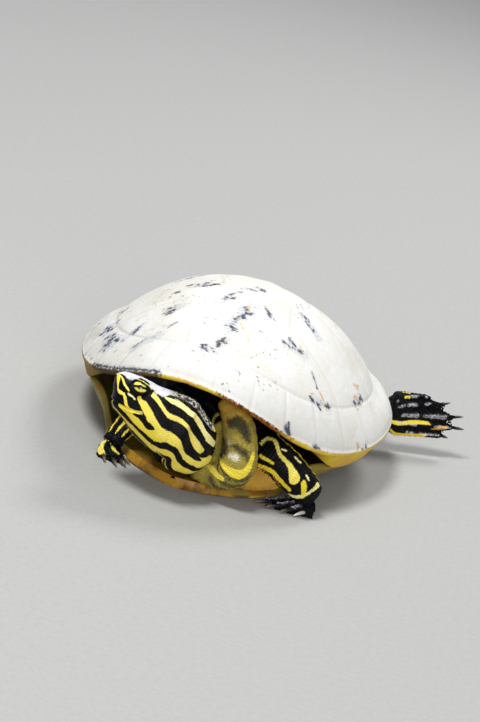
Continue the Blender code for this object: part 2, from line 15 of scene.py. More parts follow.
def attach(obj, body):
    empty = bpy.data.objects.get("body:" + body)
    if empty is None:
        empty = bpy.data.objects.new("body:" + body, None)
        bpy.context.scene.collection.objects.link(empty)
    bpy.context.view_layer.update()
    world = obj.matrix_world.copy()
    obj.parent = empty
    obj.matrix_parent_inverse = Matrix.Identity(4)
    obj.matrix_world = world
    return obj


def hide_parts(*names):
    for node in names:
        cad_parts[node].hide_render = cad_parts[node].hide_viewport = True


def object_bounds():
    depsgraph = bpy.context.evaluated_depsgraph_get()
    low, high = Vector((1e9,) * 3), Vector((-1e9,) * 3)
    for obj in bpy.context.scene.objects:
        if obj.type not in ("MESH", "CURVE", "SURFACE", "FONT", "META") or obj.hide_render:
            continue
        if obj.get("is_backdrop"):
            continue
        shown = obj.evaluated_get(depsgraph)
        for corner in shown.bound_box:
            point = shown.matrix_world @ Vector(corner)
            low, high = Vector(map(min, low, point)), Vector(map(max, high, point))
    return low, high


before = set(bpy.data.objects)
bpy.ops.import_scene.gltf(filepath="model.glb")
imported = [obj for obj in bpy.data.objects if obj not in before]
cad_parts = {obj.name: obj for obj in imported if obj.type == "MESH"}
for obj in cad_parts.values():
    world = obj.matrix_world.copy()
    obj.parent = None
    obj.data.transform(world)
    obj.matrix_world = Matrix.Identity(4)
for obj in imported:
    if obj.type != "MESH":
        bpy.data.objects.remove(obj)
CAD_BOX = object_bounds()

MM = 0.001
GAP = 0.35  # clear space between neighbouring CAD solids

# Shell, as in the CAD source
SHELL_LENGTH = 220.0
SHELL_WIDTH = 168.0
REAR_WIDENING = 0.075
SIDE_ROUNDNESS = 0.92
SIDE_RIM = 30.0
FRONT_RIM_RISE = 30.0
FRONT_ARCH = 3.56
REAR_RIM_RISE = 4.0
DOME_RISE = 58.5
APEX_FORWARD = 9.8
DOME_ROUND = (1.77, 2.10, 1.475)
DOME_SHOULDER = (0.824, 0.70, 0.887)
REAR_HOLLOW = 3.2
HOLLOW_SHARE = 0.82
HOLLOW_SPREAD = 0.16
SHELL_WALL = 5.0
EDGE_DEPTH = 3.0
LIP_SHARE = 0.885
BRIDGE_LIP_SHARE = 0.935
BRIDGE_DROP = 8.4
LIP_DROP = 1.0
MARGINALS = 12
NUCHAL_HALF_ANGLE = 4.0
REAR_NOTCH = 1.3
PLASTRON_FRONT = -102.0
PLASTRON_REAR = 98.0
PLASTRON_WALL = 4.5
LOBE_HALF_WIDTH = 50.0
BRIDGE_FRONT = -55.0
BRIDGE_REAR = 40.0
BRIDGE_FADE = 10.0

# Scute seams of one side as seen from above, (distance from the midline, y)
VERTEBRAL_SIDE = (
    (15.0, -93.0), (21.5, -74.0), (17.5, -57.0), (24.5, -38.0), (19.0, -18.0), (26.0, 2.0),
    (19.5, 22.0), (24.0, 41.0), (14.0, 60.0), (20.0, 76.0), (25.0, 92.0),
)
CROSS_SEAMS = (
    ((0.0, -60.0), (9.0, -59.0), (17.5, -57.0)),
    ((0.0, -20.0), (10.0, -19.5), (19.0, -18.0)),
    ((0.0, 20.5), (10.0, 21.0), (19.5, 22.0)),
    ((0.0, 59.0), (8.0, 59.5), (14.0, 60.0)),
    ((24.5, -38.0), (45.0, -41.0), (73.0, -43.0)),
    ((26.0, 2.0), (50.0, 3.0), (80.0, 5.0)),
    ((24.0, 41.0), (45.0, 45.5), (74.0, 54.0)),
)
MARGINAL_INNER = 0.845  # share of the outline where the marginals begin
# Seams of the lower shell on one side
PLASTRON_SEAMS = (
    ((0.0, -84.0), (16.0, -93.0), (26.0, -99.0)),
    ((0.0, -62.0), (24.0, -63.0), (52.0, -74.0)),
    ((0.0, -30.0), (30.0, -31.0), (66.0, -36.0)),
    ((0.0, 6.0), (30.0, 5.0), (68.0, 9.0)),
    ((0.0, 42.0), (26.0, 42.0), (58.0, 34.0)),
    ((0.0, 66.0), (22.0, 72.0), (50.0, 86.0)),
)
# Stained patches of the shell seen from above: the middle, the heading in degrees from the left,
# the reach along and across it, how many flecks it holds and the half width of its grey wash
STAINED_PATCHES = (
    ((-60, -62), 115, (8, 4), 9, 4.6),
    ((-66, -42), 100, (8, 3), 7, 3.6),
    ((-67, -20), 95, (6, 3), 3, 0),
    ((-48, -68), 50, (8, 3), 5, 2.4),
    ((-34, -54), 60, (6, 5), 9, 3.2),
    ((-37, -84), 20, (8, 3), 2, 3.6),
    ((-41, 5), 20, (8, 3), 6, 2.2),
    ((-31, -20), 30, (8, 5), 9, 2.0),
    ((-11, -42), 80, (8, 4), 5, 1.8),
    ((-3, -22), 40, (9, 4), 4, 2.0),
    ((2, -50), 80, (12, 4), 9, 4.0),
    ((0, -70), 95, (10, 4), 7, 3.8),
    ((2, -84), 60, (5, 3), 4, 2.2),
    ((-4, -95), 0, (6, 2), 3, 1.8),
    ((13, -42), 140, (6, 2), 3, 1.8),
    ((32, -20), 160, (9, 4), 7, 3.6),
    ((33, -50), 30, (7, 5), 7, 3.2),
    ((55, -58), 50, (8, 3), 6, 1.8),
    ((67, -18), 80, (12, 3), 7, 1.8),
    ((46, -91), 45, (5, 2), 2, 0),
    ((63, -72), 50, (5, 2), 2, 0),
    ((80, -26), 80, (10, 1), 3, 0),
    ((30, 40), 120, (24, 14), 9, 0),
    ((-28, 50), 60, (24, 14), 9, 0),
)
FLECK_HALF = (0.35, 1.15)  # thinnest and widest half width of a fleck
FLECK_REACH = (0.3, 1.9)  # shortest and longest half length
TAN_SHARE = 0.17  # share of the flecks that are tan
STAIN_SEED = 11
# Single scratches: tone, half width, then the places each runs through
SCRATCHES = (
    ("dark", 0.4, (-27, -72), (-29, -75)),
    ("dark", 0.5, (9, -39), (16, -44)),
    ("dark", 0.5, (44, -52), (50, -56)),
    ("tan", 0.4, (-52, -54), (-47, -50)),
    ("tan", 0.4, (-14, -68), (-10, -67)),
    ("tan", 0.4, (3, -64), (13, -77)),
    ("tan", 0.4, (-72, -10), (-75, 21)),
    ("tan", 0.8, (52, -55), (58, -56)),
    ("tan", 0.7, (62, -15), (64, -9)),
)
# The dark line along the right front of the rim, a painted shadow
RIM_SHADOW_TURNS = (-50, -14)
RIM_SHADOW_SHARE = 0.998
RIM_SHADOW_HALF = 0.8


# ---------------------------------------------------------------- numbers and noise


def unit(v):
    v = np.asarray(v, float)
    return v / np.linalg.norm(v, axis=-1, keepdims=True)


def smoothstep(low, high, value):
    """0 below low, 1 above high, with a smooth run between."""
    t = np.clip((np.asarray(value, float) - low) / (high - low), 0.0, 1.0)
    return t * t * (3 - 2 * t)


def bump(value, middle, half):
    """1 at the middle, falling smoothly to 0 a half width away."""
    return smoothstep(1.0, 0.0, np.abs(np.asarray(value, float) - middle) / half)


NOISE_CELLS = 32
NOISE_TABLE = np.random.RandomState(7).rand(NOISE_CELLS, NOISE_CELLS, NOISE_CELLS)


def noise(points, size, shift=0.0):
    """Smooth seeded noise from 0 to 1, whose cells are size across."""
    q = np.asarray(points, float) / size + shift
    low = np.floor(q).astype(int)
    t = q - low
    t = t * t * (3 - 2 * t)
    total = 0.0
    for dx in (0, 1):
        for dy in (0, 1):
            for dz in (0, 1):
                cell = (low + (dx, dy, dz)) % NOISE_CELLS
                weight = (
                    (t[..., 0] if dx else 1 - t[..., 0])
                    * (t[..., 1] if dy else 1 - t[..., 1])
                    * (t[..., 2] if dz else 1 - t[..., 2])
                )
                total = total + weight * NOISE_TABLE[cell[..., 0], cell[..., 1], cell[..., 2]]
    return total


def distance_to_route(points, route):
    """Distance of each point from a polyline, in as many dimensions as both have."""
    route = np.asarray(route, float)
    best = np.full(points.shape[:-1], np.inf)
    for a, b in zip(route[:-1], route[1:]):
        ab = b - a
        t = np.clip(((points - a) @ ab) / max(ab @ ab, 1e-9), 0, 1)
        best = np.minimum(best, np.linalg.norm(points - a - t[..., None] * ab, axis=-1))
    return best


# ---------------------------------------------------------------- making objects


def add_mesh(name, points, faces, attributes=None):
    """A smooth mesh object from points in millimetres."""
    mesh = bpy.data.meshes.new(name)
    points = np.asarray(points, float) * MM
    faces = np.asarray(faces)
    mesh.vertices.add(len(points))
    mesh.vertices.foreach_set("co", points.astype(np.float32).ravel())
    corners = faces.shape[1]
    mesh.loops.add(faces.size)
    mesh.loops.foreach_set("vertex_index", faces.astype(np.int32).ravel())
    mesh.polygons.add(len(faces))
    mesh.polygons.foreach_set("loop_start", np.arange(0, faces.size, corners, dtype=np.int32))
    mesh.update(calc_edges=True)
    mesh.polygons.foreach_set("use_smooth", np.ones(len(faces), bool))
    set_attributes(mesh, attributes or {})
    made = bpy.data.objects.new(name, mesh)
    bpy.context.scene.collection.objects.link(made)
    return made


def set_attributes(mesh, attributes):
    """Stores a value for each point under each name."""
    for key, values in attributes.items():
        layer = mesh.attributes.new(key, "FLOAT", "POINT")
        layer.data.foreach_set("value", np.asarray(values, np.float32).ravel())


def grid_faces(rings, sides, closed=True):
    """Quads between rings of points, one after the other, each with as many points."""
    i = np.arange(rings - 1)[:, None] * sides
    k = np.arange(sides if closed else sides - 1)[None, :]
    after = (k + 1) % sides
    quads = np.stack([i + k, i + after, i + sides + after, i + sides + k], axis=-1)
    return quads.reshape(-1, 4)


def read_points(mesh):
    """The mesh's points in millimetres."""
    points = np.empty(len(mesh.vertices) * 3, np.float32)
    mesh.vertices.foreach_get("co", points)
    return points.reshape(-1, 3).astype(float) / MM


def write_points(mesh, points):
    """Moves the mesh's points to places in millimetres."""
    mesh.vertices.foreach_set("co", (points * MM).astype(np.float32).ravel())
    mesh.update()


def read_normals(mesh):
    """The direction that the surface faces at each point."""
    normals = np.empty(len(mesh.vertices) * 3, np.float32)
    mesh.vertex_normals.foreach_get("vector", normals)
    return normals.reshape(-1, 3).astype(float)


def reshape(obj, change=None):
    """Makes a change to an object's mesh, if one is given, and turns its faces outwards."""
    shape = bmesh.new()
    shape.from_mesh(obj.data)
    shape.verts.ensure_lookup_table()
    if change:
        change(shape)
    bmesh.ops.recalc_face_normals(shape, faces=shape.faces)
    shape.to_mesh(obj.data)
    shape.free()


# ---------------------------------------------------------------- node materials


class Nodes:
    """Builds one Principled material from a few kinds of procedural node."""

    def __init__(self, name):
        self.material = bpy.data.materials.new(name)
        self.material.use_nodes = True
        self.tree = self.material.node_tree
        self.shader = self.tree.nodes["Principled BSDF"]
        self.place = self.tree.nodes.new("ShaderNodeTexCoord").outputs["Object"]

    def put(self, target, value):
        """Links a socket to the target, or sets it to a constant."""
        if isinstance(value, bpy.types.NodeSocket):
            self.tree.links.new(value, target)
        elif value is not None:
            target.default_value = value

    def attribute(self, name):
        """A value stored with the mesh's points."""
        node = self.tree.nodes.new("ShaderNodeAttribute")
        node.attribute_name = name
        return node.outputs["Fac"]

    def math(self, operation, a, b=None):
        node = self.tree.nodes.new("ShaderNodeMath")
        node.operation = operation
        for socket, value in zip(node.inputs, (a, b)):
            self.put(socket, value)
        return node.outputs[0]

    def plus(self, a, b):
        return self.math("ADD", a, b)

    def minus(self, a, b):
        return self.math("SUBTRACT", a, b)

    def times(self, a, b):
        return self.math("MULTIPLY", a, b)

    def larger(self, a, b):
        return self.math("MAXIMUM", a, b)

    def ramp(self, value, low, high, out_low=0.0, out_high=1.0):
        """A smooth step from one level to the other as the value goes from low to high."""
        node = self.tree.nodes.new("ShaderNodeMapRange")
        node.interpolation_type = "SMOOTHSTEP"
        for socket, given in zip(node.inputs, (value, low, high, out_low, out_high)):
            self.put(socket, given)
        return node.outputs[0]

    def noise(self, size_mm, detail=3.0, roughness=0.55):
        """Noise whose features are about this many millimetres across."""
        node = self.tree.nodes.new("ShaderNodeTexNoise")
        self.put(node.inputs["Vector"], self.place)
        node.inputs["Scale"].default_value = 1 / (size_mm * MM)
        node.inputs["Detail"].default_value = detail
        node.inputs["Roughness"].default_value = roughness
        return node.outputs["Fac"]

    def cells(self, size_mm):
        """Distance from the middle of rounded cells about this many millimetres across."""
        node = self.tree.nodes.new("ShaderNodeTexVoronoi")
        self.put(node.inputs["Vector"], self.place)
        node.inputs["Scale"].default_value = 1 / (size_mm * MM)
        return node.outputs["Distance"]

    def mix(self, factor, a, b):
        """Colour a where the factor is 0 and colour b where it is 1."""
        node = self.tree.nodes.new("ShaderNodeMix")
        node.data_type = "RGBA"
        self.put(node.inputs["Factor"], factor)
        for socket, value in ((node.inputs["A"], a), (node.inputs["B"], b)):
            socket = [s for s in node.inputs if s.name == socket.name and s.type == "RGBA"][0]
            self.put(socket, (*value, 1.0) if isinstance(value, tuple) else value)
        return [s for s in node.outputs if s.type == "RGBA"][0]

    def bump(self, height, depth_mm):
        node = self.tree.nodes.new("ShaderNodeBump")
        node.inputs["Strength"].default_value = 1.0
        node.inputs["Distance"].default_value = depth_mm * MM
        self.put(node.inputs["Height"], height)
        return node.outputs[0]

    def finish(self, colour, roughness, normal=None, **constants):
        """Joins the parts to the shader, whose other inputs are given by name as constants."""
        self.put(self.shader.inputs["Base Color"], colour)
        self.put(self.shader.inputs["Roughness"], roughness)
        if normal is not None:
            self.put(self.shader.inputs["Normal"], normal)
        for key, value in constants.items():
            self.shader.inputs[key.replace("_", " ")].default_value = value
        return self.material


# ---------------------------------------------------------------- shell


def outline(turn, share=1.0):
    """(x, y) of the shell's outline seen from above, turned from the front over the left."""
    c, s = np.cos(turn), np.sin(turn)
    x = np.sign(s) * np.abs(s) ** SIDE_ROUNDNESS * SHELL_WIDTH / 2
    y = -share * c * SHELL_LENGTH / 2 - APEX_FORWARD * (1 - share**2)
    return share * x * (1 - REAR_WIDENING * c), y


def rim_height(turn):
    """Height of the rim, which rises over the neck and slightly at the rear."""
    c = np.cos(turn)
    front = FRONT_RIM_RISE * np.maximum(c, 0) ** FRONT_ARCH
    return SIDE_RIM + front + REAR_RIM_RISE * np.minimum(c, 0) ** 2


def dome_height(turn, share, inset=0.0):
    """Height of the dome over a share of the outline, or of its inside at a wall's inset."""
    inner = np.minimum(share / (1 - inset / (SHELL_WIDTH / 2)), 1.0)
    c = np.cos(turn)
    weights = (1 - c * c, c * c * (c > 0), c * c * (c <= 0))
    round_, shoulder = (
        sum(w * v for w, v in zip(weights, values)) for values in (DOME_ROUND, DOME_SHOULDER)
    )
    rise = (DOME_RISE - inset) * (1 - inner**round_) ** shoulder
    dip = REAR_HOLLOW * np.exp(-(((share - HOLLOW_SHARE) / HOLLOW_SPREAD) ** 2))
    dip = dip * smoothstep(-0.5, 0.5, -c) * (1 - share**8)
    return SIDE_RIM + (rim_height(turn) - SIDE_RIM) * share**3 + rise - dip


def on_bridge(y):
    """1 along the bridge, 0 along the lobes of the plastron."""
    front = smoothstep(BRIDGE_FRONT - BRIDGE_FADE, BRIDGE_FRONT + BRIDGE_FADE, y)
    rear = smoothstep(BRIDGE_REAR - BRIDGE_FADE, BRIDGE_REAR + BRIDGE_FADE, y)
    return front - rear


def lip_share(y):
    """Share of the outline at which the marginals' underside ends."""
    return LIP_SHARE + (BRIDGE_LIP_SHARE - LIP_SHARE) * on_bridge(y)


def lip_point(turn):
    """The inner end of the marginals' underside."""
    x, y = outline(turn, LIP_SHARE)
    for _ in range(4):
        x, y = outline(turn, lip_share(y))
    drop = LIP_DROP + (BRIDGE_DROP - LIP_DROP) * on_bridge(y)
    return x, y, rim_height(turn) - EDGE_DEPTH - drop


def marginal_place(turn):
    """Place of a turn among the marginals of its side: whole numbers are their seams."""
    degrees = np.abs(np.degrees(np.arctan2(np.sin(turn), np.cos(turn))))
    place = (degrees - NUCHAL_HALF_ANGLE) / (180 - NUCHAL_HALF_ANGLE) * MARGINALS
    return degrees, place


def notch(turn):
    """Share by which the outline is notched between the rear marginals."""
    degrees, place = marginal_place(turn)
    near_seam = np.abs(place - np.round(place))
    depth = REAR_NOTCH * smoothstep(110, 135, degrees) * np.maximum(0.0, 1 - near_seam / 0.3)
    return depth / (SHELL_LENGTH / 2)


def scute_seams(turn, share, x, y):
    """Distance in millimetres from the nearest seam between scutes of the upper shell."""
    plan = np.stack([np.abs(x), y], axis=-1)
    wander = 0.7 * (noise(np.stack([x, y, 0 * x], -1), 9.0) - 0.5)
    on_disc = distance_to_route(plan, VERTEBRAL_SIDE)
    for seam in CROSS_SEAMS:
        on_disc = np.minimum(on_disc, distance_to_route(plan, seam))
    local = np.hypot(x, y + APEX_FORWARD)
    ring = (share - MARGINAL_INNER) * local / np.maximum(share, 0.1)
    _, place = marginal_place(turn)
    step = math.radians(180 - NUCHAL_HALF_ANGLE) / MARGINALS
    across = np.abs(place - np.round(place)) * step * local
    across = np.where(np.round(place) > MARGINALS - 0.5, np.abs(x), across)
    across = np.where(place < -0.5, 1e3, across)
    seams = np.where(ring < 0, np.minimum(on_disc, -ring), np.minimum(ring, across))
    return np.abs(seams + wander * smoothstep(0, 2, seams))


SCUTE_SWELL = 0.55
SEAM_GROOVE = 0.30
SEAM_HALF_WIDTH = 0.6
GROWTH_LINE = 0.055
GROWTH_PITCH = 1.9
RADIAL_GRAIN = 0.05
UNEVENNESS = 0.9
KEEL_RISE = 0.9
KEEL_HALF_WIDTH = 5.0
REAR_FLARE = 2.3
PIT_DEPTH = 0.12


def shell_relief(turn, share, x, y, seam):
    """Relief of the upper shell: swollen scutes, sunk seams, growth lines, keel and flare."""
    degrees, _ = marginal_place(turn)
    rear = smoothstep(60, 125, degrees)
    swell = SCUTE_SWELL * (1 - np.exp(-seam / 6.0)) * smoothstep(1.0, 0.9, share)
    groove = -SEAM_GROOVE * np.exp(-((seam / SEAM_HALF_WIDTH) ** 2))
    plan = np.stack([x, y, 0 * x], -1)
    ages = seam + 1.4 * (noise(plan, 14.0) - 0.5)
    growth = GROWTH_LINE * np.sin(2 * math.pi * ages / GROWTH_PITCH) * np.exp(-seam / 8.0)
    grain = noise(plan * (1.0, 0.35, 1.0), 1.6, 3.0) - 0.5
    radial = RADIAL_GRAIN * grain * smoothstep(1, 4, seam)
    uneven = UNEVENNESS * (noise(plan, 31.0, 5.0) - 0.5) * smoothstep(1.0, 0.8, share)
    keel = KEEL_RISE * np.exp(-((x / KEEL_HALF_WIDTH) ** 2)) * smoothstep(-50, 30, y)
    keel = keel * smoothstep(0.9, 0.6, share)
    hollow = -REAR_FLARE * bump(share, 0.87, 0.12) * rear
    pits = -PIT_DEPTH * smoothstep(0.62, 0.85, noise(plan, 2.3, 9.0))
    return swell + groove + growth + radial + uneven + keel + hollow + pits


def on_dome(top, plan):
    """The points of the dome's top that lie nearest to places seen from above."""
    return [top[np.hypot(top[:, 0] - x, top[:, 1] - y).argmin()] for x, y in plan]


def stains_and_shadow(top):
    """Tone, half width and route of each fleck, wash and scratch of the shell, and of the painted
    shadow line along the right front of its rim.
    """
    pick = np.random.RandomState(STAIN_SEED)
    found = []
    for middle, heading, reach, flecks, wash in STAINED_PATCHES:
        angle = math.radians(heading)
        along = np.array([math.cos(angle), math.sin(angle)])
        across = np.array([-along[1], along[0]])
        if wash:
            half_run = 0.6 * reach[0] * along
            found.append(("wash", wash, on_dome(top, (middle - half_run, middle + half_run))))
        for _ in range(flecks):
            at = middle + 0.5 * (pick.normal() * reach[0] * along + pick.normal() * reach[1] * across)
            lean = angle + pick.normal(0, 0.5)
            step = pick.uniform(*FLECK_REACH) * np.array([math.cos(lean), math.sin(lean)])
            bend = pick.normal(0, 0.6, 2)
            half = pick.uniform(*FLECK_HALF)
            tone = "tan" if pick.rand() < TAN_SHARE else "dark"
            found.append((tone, half, on_dome(top, (at - step, at + bend, at + step))))
    for tone, half, *plan in SCRATCHES:
        found.append((tone, half, on_dome(top, plan)))
    # A painted shadow: a dark line along the right front of the rim, laid with the flecks
    turns = np.radians(np.linspace(*RIM_SHADOW_TURNS, 9))
    rim_shadow = np.stack(outline(turns, RIM_SHADOW_SHARE), axis=-1)
    found.append(("dark", RIM_SHADOW_HALF, on_dome(top, rim_shadow)))
    return found


def shell_marks(points, top):
    """How far inside a fleck or the painted shadow line of the rim, a tan stain and a grey wash each
    point of the shell lies.
    """
    fields = {key: np.full(len(points), -6.0) for key in ("dark", "tan", "wash")}
    for tone, half, route in stains_and_shadow(top):
        route = np.array(route)
        middle = route.mean(axis=0)
        reach = np.linalg.norm(route - middle, axis=1).max() + half + 6
        close = np.abs(points - middle).max(axis=1) < reach
        depth = half - distance_to_route(points[close], route)
        fields[tone][close] = np.maximum(fields[tone][close], depth)
    return fields


SHELL_TURNS = 640
DOME_ROWS = 128
EDGE_STEPS = 7
UNDER_STEPS = 14
INNER_SHARES = (0.82, 0.72, 0.60, 0.45, 0.30, 0.12)
EDGE_BULGE = 0.006  # share by which the rim's edge swells outwards
EDGE_TUCK = 0.0125  # share by which its lower half turns in
UNDER_SAG = 0.32
UNDER_RELIEF = 0.35
NO_SEAM = 9.0  # a distance from the seams at which none shows
# Values of the attribute "side": rows on the dome, the rim's edge up to 1, its underside up to 2
ON_DOME = 0.0
INSIDE = 3.0


def dome_rows(turns):
    """Rows of (x, y, z, distance from a seam, relief) from the dome's top to its rim."""
    eased = np.linspace(0.012, 1.0, DOME_ROWS)
    shares = eased + 0.10 * np.sin(math.pi * eased) * eased
    shares[-1] = 1.0
    rows = []
    for share in shares:
        notched = 1 - notch(turns) * smoothstep(0.86, 1.0, share)
        x, y = outline(turns, share * notched)
        whole = outline(turns, share)
        seam = scute_seams(turns, share + 0 * turns, *whole)
        relief = shell_relief(turns, share + 0 * turns, *whole, seam)
        rows.append([x, y, dome_height(turns, share), seam, relief])
    return rows


def edge_rows(rim):
    """Rows round the rim's rounded edge, from its top to its underside."""
    rows = []
    for step in range(1, EDGE_STEPS + 1):
        angle = math.pi * step / EDGE_STEPS
        tuck = 1 - EDGE_TUCK * (1 - math.sin(angle)) * (step > EDGE_STEPS / 2)
        reach = tuck * (1 + EDGE_BULGE * math.sin(angle))
        drop = EDGE_DEPTH / 2 * (1 - math.cos(angle))
        relief = rim[4] * (1 - step / EDGE_STEPS)
        rows.append([rim[0] * reach, rim[1] * reach, rim[2] - drop, rim[3], relief])
    return rows


def under_rows(turns, edge):
    """Rows along the marginals' underside, from the edge to their inner end."""
    lip = np.array(lip_point(turns))
    _, place = marginal_place(turns)
    off_seam = np.abs(place - np.round(place))
    relief = UNDER_RELIEF * (1 - np.exp(-off_seam * 9))
    rows = []
    for step in range(1, UNDER_STEPS + 1):
        t = step / UNDER_STEPS
        x, y, z = edge[:3] + (lip - edge[:3]) * t
        rows.append([x, y, z - UNDER_SAG * math.sin(math.pi * t), off_seam * 20.0, relief])
    return rows


def make_carapace():
    """The upper shell with its marginals, closed by a plain inner face."""
    turns = 2 * math.pi * np.arange(SHELL_TURNS) / SHELL_TURNS
    rows = dome_rows(turns)
    rows += edge_rows(np.array(rows[-1]))
    rows += under_rows(turns, np.array(rows[-1]))
    for share in INNER_SHARES:
        x, y = outline(turns, share)
        rows.append([x, y, dome_height(turns, share, SHELL_WALL), 0 * x + NO_SEAM, 0 * x])
    kinds = [ON_DOME] * DOME_ROWS
    kinds += [step / EDGE_STEPS for step in range(1, EDGE_STEPS + 1)]
    kinds += [1 + step / UNDER_STEPS for step in range(1, UNDER_STEPS + 1)]
    kinds += [INSIDE] * len(INNER_SHARES)
    rows = np.array(rows)
    base = np.moveaxis(rows[:, :3], 1, -1)
    ahead = np.roll(base, -1, axis=1) - np.roll(base, 1, axis=1)
    normal = unit(np.cross(np.gradient(base, axis=0), ahead))
    normal *= np.sign(normal[DOME_ROWS // 2, 0, 2])
    points = base + normal * rows[:, 4][..., None]
    rings, sides = points.shape[:2]
    flat = points.reshape(-1, 3)
    top = flat[:sides].mean(axis=0) + [0, 0, 0.02]
    inside = flat[-sides:].mean(axis=0)
    flat = np.concatenate([flat, [top, inside]])
    seam = np.concatenate([rows[:, 3].ravel(), [5.0, NO_SEAM]])
    side = np.concatenate([np.repeat(kinds, sides), [ON_DOME, INSIDE]])
    attributes = {"seam": seam, "side": side}
    attributes.update(shell_marks(flat, flat[: DOME_ROWS * sides]))
    attributes.update(shell_tones(flat))
    carapace = add_mesh("carapace_shell", flat, grid_faces(rings, sides), attributes)
    close_poles(carapace, sides, len(flat) - 2, len(flat) - 1)
    return carapace


def shell_tones(points):
    """Where the rim is rusty, where its underside at the right front gets painted shade (near black
    at the front, olive behind it), the dome sprinkled and the far side dusky.
    """
    x, y = points[:, 0], points[:, 1]
    front = smoothstep(-60, -75, y)
    return {
        "rust": front * smoothstep(6, 14, x) * smoothstep(52, 40, x),
        # painted shade under the right front of the rim, near black
        "rim_shade": front * smoothstep(-12, -24, x),
        # painted shade, tinted olive, under the rim at the right front
        "olive": smoothstep(-30, -50, x) * smoothstep(-15, -40, y),
        "sprinkled": smoothstep(45, 10, y) * smoothstep(48, 22, x),
        "far": smoothstep(-20, -60, x) + smoothstep(60, 95, y),
    }


def close_poles(obj, sides, top, inside):
    """Fans of triangles that close the first and the last ring of a grid."""

    def add_fans(shape):
        v = shape.verts
        last = top - sides
        for k in range(sides):
            after = (k + 1) % sides
            shape.faces.new((v[top], v[after], v[k])).smooth = True
            shape.faces.new((v[inside], v[last + k], v[last + after])).smooth = True

    reshape(obj, add_fans)


def lobe_half_width(y):
    """Half width of the plastron's flat part at a place along it."""
    if y < BRIDGE_FRONT:
        reach = (BRIDGE_FRONT - y) / (BRIDGE_FRONT - PLASTRON_FRONT)
        return LOBE_HALF_WIDTH * (1 - reach**1.5) ** 0.6
    if y > BRIDGE_REAR:
        reach = (y - BRIDGE_REAR) / (PLASTRON_REAR - BRIDGE_REAR)
        return LOBE_HALF_WIDTH * (1 - 0.16 * reach) * (1 - reach**4.5) ** (1 / 2.2)
    return LOBE_HALF_WIDTH


def lip_beside(y):
    """The left inner end of the marginals' underside at a place along the shell."""
    share = float(lip_share(y))
    reach = (y + APEX_FORWARD * (1 - share**2)) / (share * SHELL_LENGTH / 2)
    return [float(v) for v in lip_point(math.acos(min(max(-reach, -1.0), 1.0)))]


# Steps round the left half of a section, from the middle of its underside to that of its top
ACROSS_PLASTRON = 90
SECTION_STEPS = (0, 34, 42, 54, 66, 70, 76, 82, ACROSS_PLASTRON)
UNDERSIDE_STEPS = 68  # the steps before this one lie on the underside
FLAT_STEPS = 36  # the steps before this one stay flat on the ground
PLASTRON_EDGE = 2.4  # height of the lobes' edge
SEAM_CUT = 0.38


def plastron_section(y):
    """Points round the left half of the lower shell at a place along it."""
    half = lobe_half_width(y)
    bridge = float(on_bridge(y)) ** 0.8
    x_lip, _, z_lip = lip_beside(y)
    edge = half + bridge * (x_lip - 0.6 - half)
    z_edge = PLASTRON_EDGE + bridge * (z_lip - GAP - PLASTRON_EDGE)
    flat = max(half - 4.0, 0.75 * half)
    thin = min(1.0, half / 12)
    side = np.array(
        [
            (0.0, 0.0),
            (flat, 0.0),
            (half, 0.9 + 0.6 * bridge),
            (0.5 * (half + edge), 1.4 + 0.42 * (z_edge - 1.4)),
            (edge, z_edge),
            (edge - 3.6 * bridge - 0.6, z_edge + 2.2 * bridge + 1.3 * (1 - bridge)),
            (0.5 * (half + edge) - 2.4, 1.8 + 0.42 * z_edge + PLASTRON_WALL * 0.7),
            (half - 3.0 * thin, PLASTRON_WALL),
            (0.0, PLASTRON_WALL),
        ]
    )
    index = np.arange(ACROSS_PLASTRON + 1)
    x = np.interp(index, SECTION_STEPS, side[:, 0])
    z = np.interp(index, SECTION_STEPS, side[:, 1])
    for _ in range(3):
        x[1:-1] = (x[:-2] + 2 * x[1:-1] + x[2:]) / 4
        soft = z[FLAT_STEPS - 1 : -2] + 2 * z[FLAT_STEPS:-1] + z[FLAT_STEPS + 1 :]
        z[FLAT_STEPS:-1] = soft / 4
    return np.stack([x, np.full_like(x, y), z], -1)


def make_plastron():
    """The lower shell, flat underneath, with a bridge up to the marginals on each side."""
    reach = np.sin(np.linspace(0, math.pi / 2, 60))
    ahead = BRIDGE_FRONT - (BRIDGE_FRONT - PLASTRON_FRONT) * 0.995 * reach[::-1]
    behind = BRIDGE_REAR + (PLASTRON_REAR - BRIDGE_REAR) * 0.992 * reach
    stations = np.concatenate([ahead, np.linspace(BRIDGE_FRONT, BRIDGE_REAR, 90)[1:-1], behind])
    rings = []
    for y in stations:
        left = plastron_section(y)
        rings.append(np.concatenate([left, left[-2:0:-1] * (-1, 1, 1)]))
    points = np.array(rings)
    below = np.zeros(points.shape[:2], bool)
    below[:, :UNDERSIDE_STEPS] = True
    below[:, 1 - UNDERSIDE_STEPS :] = True
    seam = plastron_seams(points)
    points[..., 2] += np.where(below, SEAM_CUT * np.exp(-((seam / 0.5) ** 2)), 0.0)
    rings, sides = points.shape[:2]
    flat = points.reshape(-1, 3)
    # the front edge, coloured darker orange-brown as painted shade
    front = smoothstep(-78, -96, flat[:, 1])
    wall = smoothstep(1.2, 3.0, flat[:, 2])
    marks = {"seam": seam, "wall": wall, "front": front}
    obj = add_mesh("plastron_shell", flat, grid_faces(rings, sides), marks)

    def add_ends(shape):
        for first in (0, (rings - 1) * sides):
            shape.faces.new([shape.verts[first + k] for k in range(sides)])

    reshape(obj, add_ends)
    return obj


def plastron_seams(points):
    """Distance from the nearest seam of the lower shell, whose middle one wavers."""
    x, y = points[..., 0], points[..., 1]
    plan = np.stack([np.abs(x), y], axis=-1)
    seam = np.abs(x + 0.5 * np.sin(y / 7.0))
    for route in PLASTRON_SEAMS:
        seam = np.minimum(seam, distance_to_route(plan, route))
    return seam


# ---------------------------------------------------------------- head, neck and limbs

NOSE = (-39.0, -122.0, 55.2)
HEAD_YAW = 77.0
HEAD_PITCH = 12.0
HEAD_ROLL = 14.0
HEAD_LENGTH = 35.7
